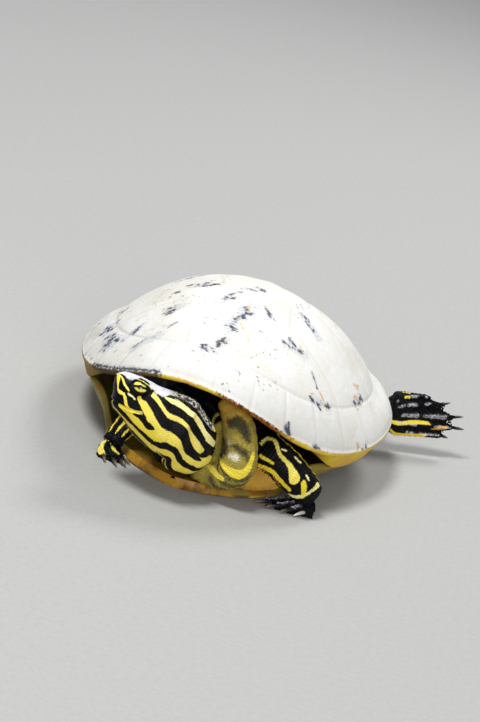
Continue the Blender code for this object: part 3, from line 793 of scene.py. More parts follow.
# Station back from the snout, crown height, throat height, half width, height where widest
HEAD_STATIONS = (
    (0.3, -1.5, -4.3, 1.8, -2.8),
    (0.9, -0.3, -6.8, 3.4, -3.4),
    (2.3, 0.8, -9.8, 4.9, -4.3),
    (3.9, 1.6, -14.3, 6.3, -6.0),
    (6.0, 2.1, -17.6, 7.8, -7.5),
    (9.4, 2.5, -18.9, 9.6, -8.1),
    (13.2, 2.9, -20.1, 11.1, -8.3),
    (17.4, 3.0, -22.7, 12.6, -9.0),
    (22.1, 2.9, -24.9, 14.0, -10.3),
    (27.3, 3.6, -26.3, 15.0, -11.3),
    (32.0, 4.3, -27.1, 15.3, -12.0),
    (35.7, 4.7, -27.6, 15.0, -12.6),
)
EYE_RADIUS = 4.7
EYE_STATION = 13.2
EYE_HEIGHT = -2.0
EYE_OUT = 7.8
# Neck rings: middle, direction, half widths outside and inside the bend, half height
NECK_BEND = (
    ((-1.0, -112.6, 32.0), (0.80, 0.52, -0.20), 15.0, 12.0, 18.6),
    ((3.4, -106.8, 28.4), (0.45, 0.88, -0.12), 14.6, 12.0, 16.8),
    ((2.6, -100.5, 26.6), (0.0, 0.99, -0.05), 13.2, 12.4, 14.6),
    ((0.5, -91.5, 26.4), (-0.15, 1.0, 0.0), 12.2, 12.2, 12.6),
    ((-1.0, -80.0, 26.4), (-0.08, 1.0, 0.0), 11.6, 11.6, 11.8),
    ((-1.5, -68.0, 26.6), (0.0, 1.0, 0.0), 11.2, 11.2, 11.2),
)
LIMB_SQUARENESS = 2.2
# Each limb: its rows of (x, y, z, half breadth, half thickness), and the way its thickness lies
LIMBS = {
    "neck_fold": (
        (
            (14, -91, 50.5, 6.0, 6.0), (22.0, -94, 42.0, 8.0, 7.0),
            (27.0, -96.0, 31.0, 9.2, 8.0), (28.5, -97.5, 20.5, 9.6, 8.2),
            (22.0, -97.0, 13.6, 7.4, 7.5), (6.0, -95.0, 12.6, 6.0, 7.0),
            (-8.0, -94, 14.0, 6.5, 7.0), (-15.0, -92, 24.0, 7.5, 7.0),
            (-15.0, -90, 36.0, 7.0, 6.5), (-9.0, -89, 46.0, 6.0, 5.5),
        ),
        (0.0, -1.0, 0.0),
    ),
    "collar": (
        (
            (13.5, -89, 37, 4.0, 5.0), (17.5, -90, 32.5, 5.0, 6.0), (19, -91, 26, 5.5, 6.5),
            (17, -91, 18.5, 5.0, 6.0), (12, -91, 13.5, 4.0, 5.0),
        ),
        (0.0, -1.0, 0.0),
    ),
    "axilla": (
        (
            (14, -90, 12.5, 6.0, 5.0), (26, -88.5, 13.5, 7.0, 6.0), (36, -85, 14.5, 7.5, 6.5),
            (46, -78, 17, 7.5, 6.5),
        ),
        (0.0, -0.7, 0.7),
    ),
    "front_left_leg": (
        (
            (29, -54, 22, 8.5, 7.5), (33.5, -67, 25.0, 9.5, 8.5),
            (38.5, -77.0, 26.6, 10.0, 9.0), (48.0, -79.0, 24.4, 9.6, 8.4),
            (57.0, -77.0, 19.0, 8.8, 7.4), (62.5, -73.5, 14.4, 8.2, 6.0),
            (65.8, -70.5, 11.0, 7.4, 4.8),
        ),
        (0.1, -0.8, 0.55),
    ),
    "front_right_leg": (
        (
            (-27, -54, 20, 8.5, 7.5), (-30, -66, 20, 9.0, 8.0), (-32.5, -75.5, 18.0, 8.2, 7.0),
            (-34.4, -83.0, 14.4, 7.2, 5.8), (-36.2, -88.2, 11.0, 6.2, 4.4),
            (-36.9, -91.4, 7.6, 5.8, 4.2),
        ),
        (-0.5, -0.5, 0.6),
    ),
    "hind_left_leg": (
        (
            (36, 48, 17.5, 10.0, 8.5), (49, 55, 17.6, 11.0, 8.3), (60.5, 60.5, 17.2, 9.6, 7.4),
            (69, 65.5, 18.2, 9.0, 6.0), (75.8, 70.2, 20.2, 8.4, 3.6),
        ),
        (0.5, -0.8, 0.25),
    ),
    "hind_right_leg": (
        (
            (-34, 48, 18, 10.0, 8.5), (-45, 53, 18, 10.5, 8.6), (-53, 58, 15.5, 9.6, 8.0),
            (-57.5, 63, 11.0, 8.6, 6.6), (-60, 67, 8.0, 8.0, 5.2),
            (-61.2, 71.5, 5.8, 7.4, 4.2),
        ),
        (-0.2, -0.2, 0.9),
    ),
    "tail": (
        (
            (0, 78, 17, 9.0, 8.0), (0, 92, 15.5, 7.5, 6.8), (4, 104, 11.5, 5.2, 4.8),
            (11, 113, 7.0, 3.4, 3.2), (19, 119, 4.0, 2.2, 2.1), (26, 122, 2.6, 1.2, 1.2),
        ),
        (0.0, 0.0, 1.0),
    ),
}
WEB_THICK = 1.5
WEB_SHARE = 0.5
OUTER_TOE_HALF = 2.6
CLAW_ROOT = 3.0
CLAW_PIVOT = 8.0
FEET = {
    "front_left_foot": {
        "origin": (67.0, -66.5, 0),
        "heading": (-0.84, -0.54, 0),
        "dorsal": (0, 0, 1),
        "ends": ((6.5, 6.8), (13.8, 5.8), (20.3, 3.2), (25.0, -0.6), (19.0, -4.4)),
        "claws": (6.0, 6.0, 6.0, 6.0, 4.5),
        "ankle_half": 8.8,
        "ankle_thick": 10.8,
        "toe_thick": 4.6,
        "pale_claw": 0,
        "flat_sole": True,
    },
    "front_right_foot": {
        "origin": (-39.3, -90.4, 0),
        "heading": (0.80, -0.60, 0),
        "dorsal": (0, 0, 1),
        "ends": ((6.0, 5.6), (10.5, 4.0), (13.0, 0.3), (12.0, -4.0), (7.5, -7.0)),
        "claws": (4.0, 5.0, 5.0, 5.0, 4.5),
        "ankle_half": 6.6,
        "ankle_thick": 10.0,
        "toe_thick": 4.2,
        "pale_claw": 0,
        "flat_sole": True,
    },
    "hind_left_foot": {
        "origin": (75.2, 70.0, 20.8),
        "heading": (0.82, 0.57, 0.0),
        "dorsal": (0.56, -0.79, 0.24),
        "ends": ((23.7, 12.6), (33.6, 9.6), (42.0, 3.4), (43.8, -2.8), (36.7, -8.4)),
        "claws": (0, 5.0, 6.5, 6.8, 5.0),
        "ankle_half": 12.5,
        "ankle_thick": 9.5,
        "toe_thick": 4.2,
        "pale_claw": 9,
        "flat_sole": False,
    },
    "hind_right_foot": {
        "origin": (-60.0, 68.0, 0),
        "heading": (-0.30, 0.95, 0),
        "dorsal": (0, 0, 1),
        "ends": ((21.0, 15.3), (30.6, 9.4), (34.0, 0.0), (30.6, -9.4), (21.0, -15.3)),
        "claws": (5.0, 6.0, 6.0, 5.0, 0),
        "ankle_half": 9.0,
        "ankle_thick": 9.5,
        "toe_thick": 4.2,
        "pale_claw": 9,
        "flat_sole": True,
    },
}


def spline(padded, steps):
    """A smooth curve (Catmull-Rom) through all rows but the first and the last."""
    t = (np.arange(steps) / steps)[:, None]
    dense = []
    for a, b, c, d in zip(padded, padded[1:], padded[2:], padded[3:]):
        square, cube = 2 * a - 5 * b + 4 * c - d, 3 * b - a - 3 * c + d
        dense.append(0.5 * (2 * b + (c - a) * t + square * t**2 + cube * t**3))
    return np.concatenate([*dense, padded[-2:-1]])


def through(rows, steps):
    """Rows of numbers made dense along a smooth curve that runs straight on at its ends."""
    rows = np.asarray(rows, float)
    padded = np.concatenate([[2 * rows[0] - rows[1]], rows, [2 * rows[-1] - rows[-2]]])
    return spline(padded, steps)


def head_axes():
    """Forward, left and up of the head."""
    yaw, pitch, roll = (math.radians(a) for a in (HEAD_YAW, HEAD_PITCH, HEAD_ROLL))
    level = np.array([-math.sin(yaw), -math.cos(yaw), 0.0])
    forward = math.cos(pitch) * level + np.array([0, 0, math.sin(pitch)])
    left = np.array([math.cos(yaw), -math.sin(yaw), 0.0])
    up = np.cross(forward, left)
    up = up if up[2] > 0 else -up
    return (
        forward,
        math.cos(roll) * left + math.sin(roll) * up,
        math.cos(roll) * up - math.sin(roll) * left,
    )


FORWARD, LEFT, UP = head_axes()


def head_point(station, height, aside=0.0):
    """A point given by its place in the head's own frame."""
    return np.array(NOSE) - station * FORWARD + height * UP + aside * LEFT


def head_place(points):
    """(station, height, aside) of points in the head's own frame."""
    away = np.asarray(points) - NOSE
    return -(away @ FORWARD), away @ UP, away @ LEFT


class Tube:
    """A rounded piece of flesh: rings of points with their place along and around it.

    along is in millimetres from where the piece begins, and around in radians from its
    crown or its broad side, positive towards its left.
    """

    def __init__(self, name, rings, along, around):
        self.name = name
        self.rings = np.asarray(rings, float)
        self.along = np.asarray(along, float)
        self.around = np.asarray(around, float)
        following = np.roll(self.rings, -1, axis=1)
        self.girth = np.linalg.norm(following - self.rings, axis=2).sum(axis=1)

    def solid(self):
        """Points and faces, closed by a cap on each end."""
        rings, sides = self.rings.shape[:2]
        return self.rings.reshape(-1, 3), grid_faces(rings, sides), rings, sides


RING_SIDES = 72
RING_TURNS = 2 * math.pi * np.arange(RING_SIDES) / RING_SIDES  # from the crown over the left
RING_AROUND = np.where(RING_TURNS > math.pi, RING_TURNS - 2 * math.pi, RING_TURNS)


def power(value, exponent):
    """A power that keeps the sign of its value."""
    return np.sign(value) * np.abs(value) ** exponent


def run_along(middles):
    """How far along a line through the middles of rings each of them lies."""
    steps = np.linalg.norm(np.diff(middles, axis=0), axis=1)
    return np.concatenate([[0], np.cumsum(steps)])


LIMB_DOME = 0.45  # roundness of a limb's ends, as a share of its thinner half width
NECK_OVERLAP = 6.0  # the neck begins this far inside the head


def domed(rings, along, dome_first, dome_last):
    """The rings with a rounded end added at one or both ends."""
    out, places = list(rings), list(along)
    for last, depth in ((False, dome_first), (True, dome_last)):
        if not depth:
            continue
        ring = out[-1] if last else out[0]
        inner = out[-2] if last else out[1]
        centre = ring.mean(axis=0)
        away = unit(centre - inner.mean(axis=0))
        for angle in (18, 36, 54, 72, 84):
            turn = math.radians(angle)
            made = centre + away * depth * math.sin(turn) + (ring - centre) * math.cos(turn)
            if last:
                out.append(made)
                places.append(along[-1] + depth * math.sin(turn))
            else:
                out.insert(0, made)
                places.insert(0, along[0] - depth * math.sin(turn))
    return np.array(out), np.array(places)


def head_tube():
    """The head, fuller above than below its widest line."""
    rows = through(HEAD_STATIONS, 10)
    c, s = np.cos(RING_TURNS), np.sin(RING_TURNS)
    rings = []
    for station, top, bottom, half, wide_at in rows:
        crown = np.where(c > 0, 2.5, 2.1)
        aside = half * power(s, 2 / crown)
        reach = np.where(c > 0, top - wide_at, wide_at - bottom)
        height = wide_at + reach * power(c, 2 / crown)
        ring = head_point(station, 0.0) + height[:, None] * UP + aside[:, None] * LEFT
        rings.append(ring)
    return Tube("head", *domed(rings, rows[:, 0], 0.6, 0), RING_AROUND)


def neck_tube():
    """The neck, from inside the head round its sideways bend and into the shell."""
    start = head_point(HEAD_LENGTH - NECK_OVERLAP, -11.8)
    after = head_point(HEAD_LENGTH, -11.4)
    second = after + 5.0 * -FORWARD - 0.3 * UP
    bend = [
        (start, -FORWARD, 14.6, 14.6, 15.5),
        (after, -FORWARD, 15.0, 14.9, 16.0),
        (second, -FORWARD + np.array([0, 0.1, 0]), 15.4, 13.8, 16.6),
        *NECK_BEND,
    ]
    world_up = np.array([0.0, 0.0, 1.0])
    rows = []
    for i, (centre, direction, outside, inside, height) in enumerate(bend):
        ratio = min(max(i - 1, 0) / 3, 1.0)
        guide = unit((1 - ratio) * UP + ratio * world_up)
        out_guide = (1 - ratio) * LEFT + ratio * np.array([1.0, 0, 0])
        rows.append([*centre, *unit(direction), *guide, *out_guide, outside, inside, height])
    rows = through(rows, 12)
    c, s = np.cos(RING_TURNS), np.sin(RING_TURNS)
    rings = []
    for row in rows:
        centre, direction, guide, out_guide = row[:3], unit(row[3:6]), row[6:9], row[9:12]
        outside, inside, height = row[12:]
        high = unit(guide - (guide @ direction) * direction)
        out = np.cross(high, -direction)
        out = out if out @ out_guide > 0 else -out
        half = np.where(s > 0, outside, inside)
        rings.append(
            centre + (half * s)[:, None] * out + (power(c, 0.9) * height)[:, None] * high
        )
    rings = np.array(rings)
    along = HEAD_LENGTH - NECK_OVERLAP + run_along(rings.mean(axis=1))
    return Tube("neck", rings, along, RING_AROUND)


def limb_tube(name):
    """A limb, fold or tail along its route, with rounded ends."""
    rows, towards = LIMBS[name]
    rows = through(rows, 12)
    cosine = power(np.cos(RING_TURNS), 2 / LIMB_SQUARENESS)
    sine = power(np.sin(RING_TURNS), 2 / LIMB_SQUARENESS)
    along_route = np.gradient(rows[:, :3], axis=0)
    rings = []
    for row, direction in zip(rows, along_route):
        direction = unit(direction)
        thick = unit(np.asarray(towards) - np.dot(towards, direction) * direction)
        broad = np.cross(direction, thick)
        rings.append(
            row[:3] + np.outer(cosine * row[3], broad) + np.outer(sine * row[4], thick)
        )
    domes = [LIMB_DOME * min(row[3:5]) for row in (rows[0], rows[-1])]
    return Tube(name, *domed(rings, run_along(rows[:, :3]), *domes), RING_AROUND)


def foot_frame(spec):
    """Origin, forward, side and dorsal directions of a foot."""
    forward = unit(spec["heading"])
    towards = np.asarray(spec["dorsal"], float)
    dorsal = unit(towards - (towards @ forward) * forward)
    return np.array(spec["origin"], float), forward, np.cross(dorsal, forward), dorsal


def toe_end(ends, toe):
    """End of the foot's surface on a ray that lies this many toes along, and its web share."""
    near = min(max(int(round(toe)), 0), len(ends) - 1)
    off = abs(toe - near)
    web = min(off * 2, 1.0)
    other = near + (1 if toe > near else -1)
    if 0 <= other < len(ends):
        end = ends[near] * (1 - off) + ends[other] * off
        spread = np.linalg.norm(ends[near] - ends[other])
        return end - np.array([WEB_SHARE * spread, 0.0]) * web**1.5, web
    inwards = near + (1 if near == 0 else -1)
    return ends[near] + unit(ends[near] - ends[inwards]) * OUTER_TOE_HALF * web, web


STRIPS_PER_TOE = 12
FOOT_STEPS = 40


def foot_tube(name):
    """The foot's surface as closed rings from the ankle line to the toes' ends."""
    spec = FEET[name]
    origin, forward, side, dorsal = foot_frame(spec)
    ends = [np.array(end) for end in spec["ends"]]
    strips = STRIPS_PER_TOE * len(ends)
    rings = []
    for i in range(FOOT_STEPS + 1):
        u = i / FOOT_STEPS
        wrist = smoothstep(0.2, 0.0, u)
        top, bottom = [], []
        for j in range(strips + 1):
            end, web = toe_end(ends, j / STRIPS_PER_TOE - 0.5)
            web = 0.5 - 0.5 * math.cos(math.pi * web)
            start = np.array([0.0, spec["ankle_half"] * (1 - 2 * j / strips)])
            place = (start + (end - start) * u) * (1.0, 1 - 0.3 * wrist)
            ease = u * u * (3 - 2 * u)
            ankle, toe = spec["ankle_thick"], spec["toe_thick"]
            knuckle = 0.35 * math.exp(-(((u - 0.72) / 0.07) ** 2)) * (1 - web)
            ridge = ankle + (toe - ankle) * (1 - (1 - u) ** 1.8) + knuckle
            edge = abs(2 * j / strips - 1)
            rounded = ridge * math.sqrt(max(1 - (0.9 * edge) ** 4, 0.0))
            thick = rounded * (1 - ease) + ease * (ridge - (ridge - WEB_THICK) * web)
            thick = max(thick * (1 - 0.12 * u**6) * (1 - 0.3 * wrist), 0.8 * WEB_THICK)
            flat = origin + forward * place[0] + side * place[1]
            low = 0.0 if spec["flat_sole"] else -0.5 * thick
            top.append(flat + dorsal * (low + thick))
            bottom.append(flat + dorsal * low)
        rings.append(top + bottom[::-1])
    rings = np.array(rings)
    reach = max(end[0] for end in ends)
    along = np.linspace(0, reach, FOOT_STEPS + 1)
    across = np.linspace(-1.0, 1.0, strips + 1)
    around = np.concatenate([across * math.pi / 2, (across[::-1] * math.pi / 2)])
    around[strips + 1 :] += np.where(around[strips + 1 :] >= 0, math.pi / 2, -math.pi / 2)
    rings, along = domed(rings, along, 0.45, 0)
    return Tube(name, rings, along, around)


def all_tubes():
    tubes = [head_tube(), neck_tube()]
    tubes += [limb_tube(name) for name in LIMBS]
    tubes += [foot_tube(name) for name in FEET]
    return tubes


# ---------------------------------------------------------------- the skin as one mesh

SWELL = 0.25  # each piece grows this much before the pieces are joined
COAT_DEPTH = 0.22  # the skin lies this far inside the coat of scales
VOXEL = 0.5
FLESH_NODES = ["head", "lower_jaw", "neck", "neck_fold", "trunk", "tail"]
FLESH_NODES += [name for name in (*LIMBS, *FEET) if name.endswith(("_leg", "_foot"))]


def with_caps(points, faces, rings, sides):
    """Triangles and quads of a closed tube, its ends closed by fans."""
    first, last = points[:sides].mean(axis=0), points[-sides:].mean(axis=0)
    points = np.concatenate([points, [first, last]])
    k = np.arange(sides)
    after = (k + 1) % sides
    n = len(points)
    low = np.stack([0 * k + n - 2, after, k, k], axis=1)
    base = (rings - 1) * sides
    high = np.stack([0 * k + n - 1, base + k, base + after, base + after], axis=1)
    return points, np.concatenate([faces, low, high])


def triangles(faces):
    """The quads of a list as triangles, leaving out those that have no area."""
    cut = np.concatenate([faces[:, [0, 1, 2]], faces[:, [0, 2, 3]]])
    whole = (cut[:, 0] != cut[:, 1]) & (cut[:, 1] != cut[:, 2]) & (cut[:, 0] != cut[:, 2])
    return cut[whole]


def read_triangles(mesh):
    mesh.calc_loop_triangles()
    corners = np.empty(len(mesh.loop_triangles) * 3, np.int32)
    mesh.loop_triangles.foreach_get("vertices", corners)
    return corners.reshape(-1, 3)


def grown(points, faces, depth):
    """The points moved out along their normals."""
    mesh = bpy.data.meshes.new("grown")
    mesh.from_pydata([tuple(p) for p in points * MM], [], [tuple(f) for f in faces.tolist()])
    shape = bmesh.new()
    shape.from_mesh(mesh)
    bmesh.ops.remove_doubles(shape, verts=shape.verts, dist=0.01 * MM)
    bmesh.ops.recalc_face_normals(shape, faces=shape.faces)
    shape.to_mesh(mesh)
    shape.free()
    points = read_points(mesh) + read_normals(mesh) * depth
    corners = read_triangles(mesh)
    bpy.data.meshes.remove(mesh)
    return points, corners


def join_flesh(tubes):
    """One closed mesh round all the pieces of flesh, with no seam between them."""
    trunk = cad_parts["trunk"].data
    solids = [grown(read_points(trunk), read_triangles(trunk), 0.0)]
    for tube in tubes:
        points, faces = with_caps(*tube.solid())
        solids.append(grown(points, triangles(faces), SWELL))
    points, faces, count = [], [], 0
    for own_points, own_faces in solids:
        points.append(own_points)
        faces.append(own_faces + count)
        count += len(own_points)
    obj = add_mesh("skin", np.concatenate(points), np.concatenate(faces))
    remesh = obj.modifiers.new("join", "REMESH")
    remesh.mode = "VOXEL"
    remesh.voxel_size = VOXEL * MM
    soften = obj.modifiers.new("soften", "SMOOTH")
    soften.factor = 0.5
    soften.iterations = 5
    apply_modifiers(obj)
    return obj


def apply_modifiers(obj):
    """Makes what an object's modifiers do part of its mesh."""
    graph = bpy.context.evaluated_depsgraph_get()
    graph.update()
    mesh = bpy.data.meshes.new_from_object(obj.evaluated_get(graph))
    obj.modifiers.clear()
    old = obj.data
    obj.data = mesh
    bpy.data.meshes.remove(old)


def inside_shell(points):
    """1 deep inside the shell, where nothing is seen, 0 near its openings and outside."""
    reach = np.hypot(points[:, 0] / (SHELL_WIDTH / 2), (points[:, 1] + 4) / (SHELL_LENGTH / 2))
    return smoothstep(0.80, 0.70, reach) * smoothstep(-74, -62, points[:, 1])


def thin_hidden(obj):
    """Fewer, larger faces deep inside the shell."""
    group = obj.vertex_groups.new(name="hidden")
    points = read_points(obj.data)
    hidden = inside_shell(points)
    for i in np.nonzero(hidden > 0.5)[0].tolist():
        group.add((i,), 1.0, "REPLACE")
    share = float((hidden > 0.5).mean())
    thin = obj.modifiers.new("thin", "DECIMATE")
    thin.vertex_group = "hidden"
    thin.ratio = max(1.0 - share * 0.93, 0.05)
    apply_modifiers(obj)
    obj.vertex_groups.clear()


def surface_tree(points, faces):
    """A search tree of a surface given by its points and its faces."""
    return BVHTree.FromPolygons([Vector(p) for p in points.tolist()], faces)


class Atlas:
    """Finds the piece, the place along it and around it, of points near the tubes."""

    def __init__(self, tubes):
        self.tubes = tubes
        points, faces, along, around, piece, count = [], [], [], [], [], 0
        for number, tube in enumerate(tubes):
            rings, sides = tube.rings.shape[:2]
            order = np.argsort(tube.around, kind="stable")
            # An ordered strip from -pi to pi, with its first column repeated at the end
            strip = np.concatenate([order, order[:1]])
            angles = np.concatenate([tube.around[order], [tube.around[order[0]] + 2 * math.pi]])
            points.append(tube.rings[:, strip].reshape(-1, 3))
            faces.append(grid_faces(rings, sides + 1, closed=False) + count)
            along.append(np.repeat(tube.along, sides + 1))
            around.append(np.tile(angles, rings))
            piece.append(np.full(rings * (sides + 1), number))
            count += rings * (sides + 1)
        self.points = np.concatenate(points)
        self.corners = triangles(np.concatenate(faces))
        self.along = np.concatenate(along)
        self.around = np.concatenate(around)
        self.piece = np.concatenate(piece)
        self.tree = surface_tree(self.points, self.corners.tolist())

    def find(self, points):
        """(piece number, along, around, distance) for each point."""
        nearest = [self.tree.find_nearest(Vector(p)) for p in points.tolist()]
        face = np.array([hit[2] for hit in nearest])
        place = np.array([tuple(hit[0]) for hit in nearest])
        away = np.array([hit[3] for hit in nearest])
        a, b, c = (self.points[self.corners[face, i]] for i in range(3))
        normal = np.cross(b - a, c - a)
        area = np.maximum((normal**2).sum(axis=1), 1e-12)
        wa = (np.cross(c - b, place - b) * normal).sum(axis=1) / area
        wb = (np.cross(a - c, place - c) * normal).sum(axis=1) / area
        weights = np.clip(np.stack([wa, wb, 1 - wa - wb], axis=1), 0, 1)
        weights /= weights.sum(axis=1, keepdims=True)
        corner = self.corners[face]
        along = (self.along[corner] * weights).sum(axis=1)
        around = (self.around[corner] * weights).sum(axis=1)
        around = np.where(around > math.pi, around - 2 * math.pi, around)
        return self.piece[corner[:, 0]], along, around, away


# ---------------------------------------------------------------- features of the head

LID_THICK = 0.55
EYE_OPENING = (3.7, 2.0)  # half width and half height of the gap between the lids
MOUTH_LINE = (
    (1.0, -12.6),
    (3.0, -13.6),
    (6.5, -14.1),
    (11.0, -13.7),
    (16.0, -13.0),
    (20.2, -12.4),
    (22.0, -13.2),
)
NOSTRIL = (1.0, -2.5, 1.35)  # station, height and distance from the middle
TYMPANUM = (24.6, -8.6)


EYE_CURVE = 1.9  # exponent of the outline of the gap between the lids
LID_RIM = 0.32
LID_CREASES = ((0.42, 1.75, 0.34), (0.22, 2.9, 0.3))  # depth, distance from the gap, half width
LID_REACH = 4.5
EYE_SUNK = 0.9  # the skin behind an open eye lies this deep
MOUTH_DEPTH = 0.62
BEAK_EDGE = 0.32
JAW_EDGE = 0.18
NOSTRIL_DEPTH = 0.8
EAR_DEPTH = 0.35
NO_MARK = -9.0  # depth inside a marking that stands for none nearby


def eye_frame(side):
    """Middle, pole, rearward and upward directions of an eyeball."""
    centre = head_point(EYE_STATION, EYE_HEIGHT, side * EYE_OUT)
    pole = unit(side * LEFT + 0.22 * FORWARD + 0.2 * UP)
    rear = unit(-FORWARD - (-FORWARD @ pole) * pole)
    upward = np.cross(pole, rear)
    upward = upward if upward @ UP > 0 else -upward
    return centre, pole, rear, upward


def eye_opening(points, side):
    """Signed distance outside the gap between the lids, and each point's place on the eye."""
    centre, pole, rear, upward = eye_frame(side)
    away = points - centre
    reach = np.linalg.norm(away, axis=1)
    direction = away / np.maximum(reach, 1e-6)[:, None]
    u = direction @ rear * EYE_RADIUS
    v = direction @ upward * EYE_RADIUS
    v = v + 0.05 * u - 0.035 * (u**2 - 4)  # the rear corner sits low, and the gap is arched
    size = (np.abs(u) / EYE_OPENING[0]) ** EYE_CURVE + (np.abs(v) / EYE_OPENING[1]) ** EYE_CURVE
    size = size ** (1 / EYE_CURVE)
    gap = (size - 1) * EYE_OPENING[1] * 1.15
    gap = np.where(direction @ pole > 0.05, gap, 9.0)
    return gap, centre, direction, reach, v


def drape_lids(points):
    """Lids that lie over each eyeball, parted where the eye shows."""
    points = points.copy()
    for side in (1, -1):
        gap, centre, direction, reach, v = eye_opening(points, side)
        near = (gap < LID_REACH) & (reach < 2 * EYE_RADIUS)
        rim = np.exp(-(((gap - 0.45) / 0.5) ** 2))
        first, second = (
            -deep * np.exp(-(((gap - at) / half) ** 2)) for deep, at, half in LID_CREASES
        )
        crease = first * np.where(v > -0.5, 1.0, 0.75) + second
        lid = EYE_RADIUS + LID_THICK + LID_RIM * rim + crease
        lid += 0.06 * np.sin(np.arctan2(v, gap + 3) * 40)
        blend = lid * smoothstep(LID_REACH, 2.4, gap) + reach * smoothstep(2.4, LID_REACH, gap)
        outside = np.maximum(reach, blend)
        outside += crease * 0.5 * (reach > lid) * smoothstep(LID_REACH, 2.0, gap)
        new = np.where(gap > 0, outside, np.minimum(reach, EYE_RADIUS - EYE_SUNK))
        points[near] = (centre + direction * new[:, None])[near]
    return points


def head_detail(points):
    """Depth of the beak's edge, mouth slit, nostrils, ear and the skin's folds on the head."""
    station, height, _ = head_place(points)
    place = np.stack([station, height], axis=-1)
    mouth = distance_to_route(place, MOUTH_LINE)
    above = height - np.interp(station, *np.array(MOUTH_LINE).T)
    inside = smoothstep(23.5, 21.5, station)
    depth = -MOUTH_DEPTH * np.exp(-((mouth / 0.38) ** 2)) * inside
    depth += BEAK_EDGE * np.exp(-(((above - 1.0) / 0.8) ** 2)) * smoothstep(21, 15, station)
    depth += JAW_EDGE * np.exp(-(((above + 1.1) / 0.7) ** 2)) * smoothstep(20, 14, station)
    for side in (1, -1):
        at = head_point(NOSTRIL[0], NOSTRIL[1], side * NOSTRIL[2])
        away = np.linalg.norm(points - at, axis=1)
        depth -= NOSTRIL_DEPTH * np.exp(-((away / 0.62) ** 2))
        depth += 0.15 * np.exp(-(((away - 1.1) / 0.4) ** 2))
    ear = np.hypot(station - TYMPANUM[0], (height - TYMPANUM[1]) * 1.15)
    depth += -EAR_DEPTH * smoothstep(3.9, 2.2, ear) - 0.12 * np.exp(-(((ear - 3.8) / 0.5) ** 2))
    cheek = smoothstep(13, 24, station) * smoothstep(-23, -17, height) * smoothstep(-3, -8, height)
    depth += 0.35 * cheek * noise(points, 5.0, 2.0)
    folds = smoothstep(20, 30, station)
    depth += 0.22 * folds * (noise(points, 2.6, 11.0) - 0.5)
    return depth


def neck_detail(points, along, around):
    """Depth of the neck's cross wrinkles and long loose folds."""
    warp = 5.0 * (noise(points, 11.0, 4.0) - 0.5)
    across = np.sin(2 * math.pi * (along + warp) / 5.2)
    lengthways = np.sin(around * 7 + 3.0 * noise(points, 9.0, 6.0))
    amount = smoothstep(30, 42, along)
    return amount * (0.32 * across * noise(points, 7.0, 8.0) + 0.22 * lengthways)


def limb_detail(points, along):
    """Depth of the cross wrinkles of the limbs."""
    warp = 4.0 * (noise(points, 8.0, 2.0) - 0.5)
    return 0.26 * np.sin(2 * math.pi * (along + warp) / 4.6) * noise(points, 6.0, 1.0)


def refine_head(obj):
    """Halves the faces of the head, where the detail is finest."""
    points = read_points(obj.data)
    station, height, aside = head_place(points)
    head = (station < 29) & (height > -30) & (height < 6) & (np.abs(aside) < 17)
    shape = bmesh.new()
    shape.from_mesh(obj.data)
    edges = [e for e in shape.edges if head[e.verts[0].index] and head[e.verts[1].index]]
    bmesh.ops.subdivide_edges(shape, edges=edges, cuts=1, use_grid_fill=True)
    shape.to_mesh(obj.data)
    shape.free()


HEAD, NECK, FOLD = 0, 1, 2


def finish_skin(obj, atlas):
    """Moves the skin inside its coat and gives it its features."""
    refine_head(obj)
    mesh = obj.data
    points = read_points(mesh)
    piece, along, around, away = atlas.find(points)
    normals = read_normals(mesh)
    points -= normals * (SWELL + COAT_DEPTH)
    depth = np.where(piece == HEAD, head_detail(points), 0.0)
    depth += np.where(piece <= NECK, neck_detail(points, along, around), 0.0)
    limb = (piece >= FOLD) & (away < 3)
    depth += np.where(limb, limb_detail(points, along), 0.0)
    depth *= 1 - inside_shell(points) * (away > 2)
    points += normals * depth[:, None]
    points = drape_lids(points)
    points[:, 2] = np.maximum(points[:, 2], 0.0)
    write_points(mesh, points)
    mesh.polygons.foreach_set("use_smooth", np.ones(len(mesh.polygons), bool))
    return points, piece, along, around, away


# ---------------------------------------------------------------- markings

THROAT = 46.0  # millimetres from crown to throat that routes on head and neck are drawn in
AROUND_LIMB = 9.0  # degrees round a limb that count as a millimetre in its routes
